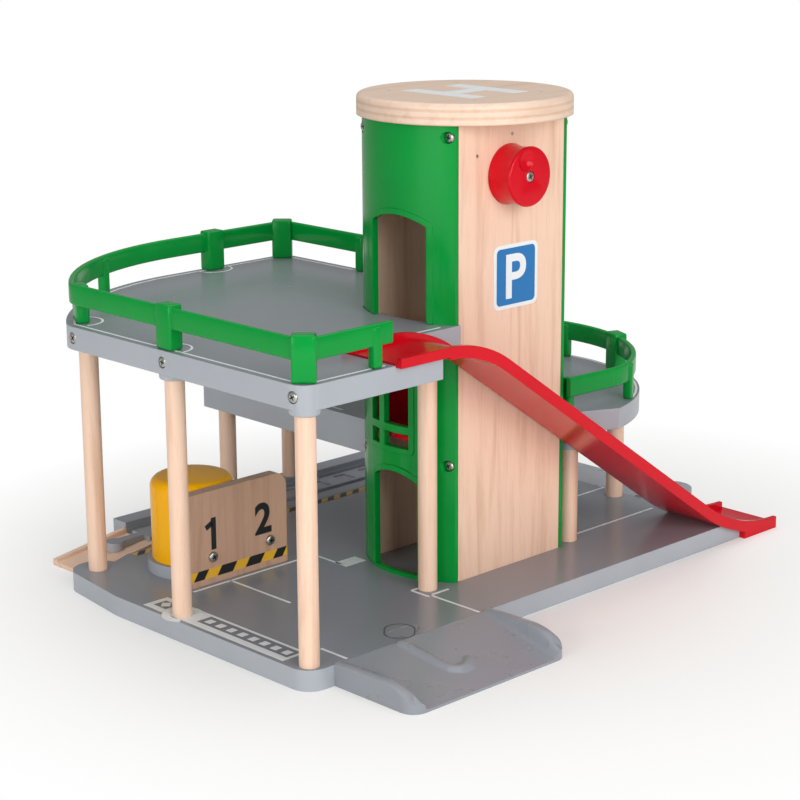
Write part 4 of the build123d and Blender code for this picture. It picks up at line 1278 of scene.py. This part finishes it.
@dataclass
class CrossheadScrews:
    """Pan-head screws with a cross recess, in place of the frame's plain ones; the recess is a dark flat
    cross of painted shade.
    """

    radius: float = 3.4
    height: float = 2.2
    recess_w: float = 0.85
    recess_l: float = 3.6
    dome: float = 0.55
    cross_lift: float = 0.03
    first_turn: float = 0.5
    next_turn: float = 0.9

    def head(self) -> BMesh:
        """Make one domed head, with its underside at the origin and its axis along +Z.

        Returns:
            The head.
        """
        mesh = disc(self.radius, 0, 32)
        top = thicken(mesh, self.height)
        rim = [e for e in mesh.edges
               if all(v in top for v in e.verts) and e.calc_length() < self.radius * 0.5]
        bevel(mesh, rim, self.height * self.dome, 5)
        bmesh.ops.recalc_face_normals(mesh, faces=mesh.faces)
        return mesh

    def cross(self) -> BMesh:
        """Make the dark flat cross that stands for the recess, just above the head: painted shade, with no
        cut.

        Returns:
            The cross.
        """
        mesh = bmesh.new()
        for size in ((self.recess_l, self.recess_w), (self.recess_w, self.recess_l)):
            square(mesh, size, flat(self.height + self.cross_lift))
        return mesh

    def build(self, name: str, replaced: str, places: Sequence[tuple[Vector, Vector]],
              body: str = GARAGE) -> None:
        """Set a screw at each place.

        Args:
            name: The piece's name.
            replaced: The frame's node that the screws stand for.
            places: Underside of each head in millimetres, and the way it faces.
            body: The body they ride on.
        """
        mesh = bmesh.new()
        for count, (at, way) in enumerate(places):
            turn = Matrix.Rotation(self.first_turn + self.next_turn * count, 4, "Z")
            facing = way.to_track_quat("Z", "Y").to_matrix().to_4x4()
            place = Matrix.Scale(MM, 4) @ Matrix.Translation(at) @ facing
            for number, part in enumerate((self.head(), self.cross())):
                bmesh.ops.transform(part, matrix=place @ turn, verts=part.verts)
                join(mesh, part, number)
        piece(name, mesh, [ZINC, RECESS_SHADE], body, replaced)


@dataclass
class Fasteners:
    """All screws that show, each group in the place of its node."""

    panel_x: float = 49.8
    panel_y: float = 37.0
    left_z: Point = (89.0, 293.0)
    right_z: Point = (69.0, 293.0)

    def build(self) -> None:
        """Set every group of screws."""
        screws = CrossheadScrews()
        front, left = Vector((0, -1, 0)), Vector((-1, 0, 0))
        screws.build("bay_board_screw_heads", "bay_board_screws",
                     [(Vector((x, BAY_BOARD_Y, 30.5)), front) for x in (-158.0, -111.0)])
        screws.build("deck_screw_heads", "deck_screws",
                     [(Vector((-213.6, y, 171.3)), left) for y in (-79.5, 35.2, 124.0)])
        for side, heights, word in ((-1, self.left_z, "left"), (1, self.right_z, "right")):
            screws.build(f"{word}_panel_screw_heads", f"{word}_panel_screws",
                         [(Vector((side * self.panel_x, y, z)), Vector((side, 0, 0)))
                          for y in (-self.panel_y, self.panel_y) for z in heights])
        screws.build("knob_screw_head", "knob_screw", [(Vector((-3.0, -56.8, 266.5)), front)], WINCH)
        pins = CrossheadScrews(radius=1.1, height=0.3, recess_w=0.01, recess_l=0.01)
        pins.build("front_plate_pins", "", [(Vector((x, PLATE_FACE_Y, z)), front)
                                            for x, z in ((-0.5, 290.9), (-31.4, 280.2))])


@dataclass
class Studio:
    """Pale floor, soft lamps and the camera at the photograph's angle."""

    eye: Point3 = (-0.9453, -0.92196, 0.46334)
    right: Point3 = (0.719304, -0.694674, -0.005428)
    up: Point3 = (0.181021, 0.179884, 0.966888)
    forward: Point3 = (0.670696, 0.696469, -0.255142)
    focal_px: float = 2113.2
    frame_px: float = 800.0
    sensor_mm: float = 36.0
    target: Point3 = (0.0, 0.03, 0.12)
    lamps: tuple[tuple[str, Point3, Point, float], ...] = (
        ("key", (-0.5, -2.0, 0.95), (1.6, 1.2), 28.5), ("side", (-2.0, -0.3, 0.5), (1.2, 0.8), 13.0),
        ("top", (0.3, 0.3, 2.0), (2.2, 2.2), 19.0))
    floor_half: float = 6.0
    paper: str = "FAFAF8"
    fade: Point = (0.16, 0.4)
    surround: float = 0.3

    def camera(self) -> None:
        """Place the camera."""
        data = bpy.data.cameras.new("camera")
        data.sensor_fit, data.sensor_width = "HORIZONTAL", self.sensor_mm
        data.lens = self.focal_px / self.frame_px * self.sensor_mm
        data.clip_end = 20.0
        made = bpy.data.objects.new("camera", data)
        turn = Matrix((self.right, self.up, -Vector(self.forward))).transposed().to_4x4()
        made.matrix_world = Matrix.Translation(self.eye) @ turn
        bpy.context.scene.collection.objects.link(made)
        bpy.context.scene.camera = made

    def lamp(self, name: str, place: Point3, size: Point, power: float) -> None:
        """Hang a soft box that looks at the middle of the garage.

        Args:
            name: The lamp's name.
            place: Where it hangs, in metres.
            size: Its width and height.
            power: Its power in watts.
        """
        data = bpy.data.lights.new(name, "AREA")
        data.shape, data.size, data.size_y, data.energy = "RECTANGLE", size[0], size[1], power
        made = bpy.data.objects.new(name, data)
        made.location = place
        made.rotation_euler = (Vector(self.target) - Vector(place)).to_track_quat("-Z", "Y").to_euler()
        bpy.context.scene.collection.objects.link(made)

    def floor(self) -> None:
        """Lay a wide pale floor that fades to white away from the garage."""
        mesh = bmesh.new()
        bmesh.ops.create_grid(mesh, x_segments=8, y_segments=8, size=self.floor_half)
        data = bpy.data.meshes.new("floor")
        mesh.to_mesh(data)
        mesh.free()
        made = bpy.data.objects.new("floor", data)
        bpy.context.scene.collection.objects.link(made)
        material, tree, place = blank("seamless_paper")
        shader = surface(tree, {}, Base_Color=linear(self.paper), Roughness=0.8)
        away = put(tree, "VectorMath", {0: place}, operation="LENGTH")
        fade = put(tree, "MapRange", {"Value": away.outputs["Value"]},
                   in1=self.fade[0], in2=self.fade[1])
        seen = put(tree, "LightPath")
        share = put(tree, "Math", {0: fade.outputs[0], 1: seen.outputs["Is Camera Ray"]},
                    operation="MULTIPLY")
        glow = put(tree, "Emission", Strength=1.0)
        mixed = put(tree, "MixShader",
                    {0: share.outputs[0], 1: shader, 2: glow.outputs[0]})
        tree.links.new(mixed.outputs[0], tree.nodes["Material Output"].inputs["Surface"])
        data.materials.append(material)

    def world(self) -> None:
        """Set an even, pale surround."""
        world = bpy.data.worlds.new("studio")
        world.use_nodes = True
        background = world.node_tree.nodes["Background"]
        background.inputs["Color"].default_value = linear("FFFFFF")
        background.inputs["Strength"].default_value = self.surround
        bpy.context.scene.world = world

    def build(self) -> None:
        """Set up the whole studio."""
        bpy.context.scene.view_settings.view_transform = "Standard"
        self.camera()
        self.world()
        self.floor()
        for lamp in self.lamps:
            self.lamp(*lamp)


def dress(frame: dict) -> None:
    """Give every node of the frame its finish.

    Args:
        frame: The loaded frame.
    """
    for kind, names in FRAME_FINISHES.items():
        for name in names:
            node = frame["nodes"][name]
            node.data.materials.clear()
            node.data.materials.append(finish_of(kind))
            LOG.info("%s: %s", name, kind.name)


def main() -> None:
    """Build the looks of the garage."""
    logging.basicConfig(level=logging.INFO, format="%(name)s: %(message)s")
    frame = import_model()
    dress(frame)
    rib = ((-13.0, 3.0), (-11.0, 31.0), (-9.5, 38.5), (-5.0, 42.0), (2.0, 41.5), (8.5, 37.0))
    for part in (Studio(), Fences(frame), TurnedPieces(frame), BoardPrints(), DeckPrints(),
                 BayBoardPrints(), TowerPrints(), Fasteners(),
                 Ramp(frame, "front_ramp_moulding", "road_ramp_front", (-132.0, -89.0), 0.0, rib),
                 Ramp(frame, "side_ramp_moulding", "road_ramp_side", (171.0, 55.0), 90.0)):
        part.build()


if __name__ == "__main__":
    main()
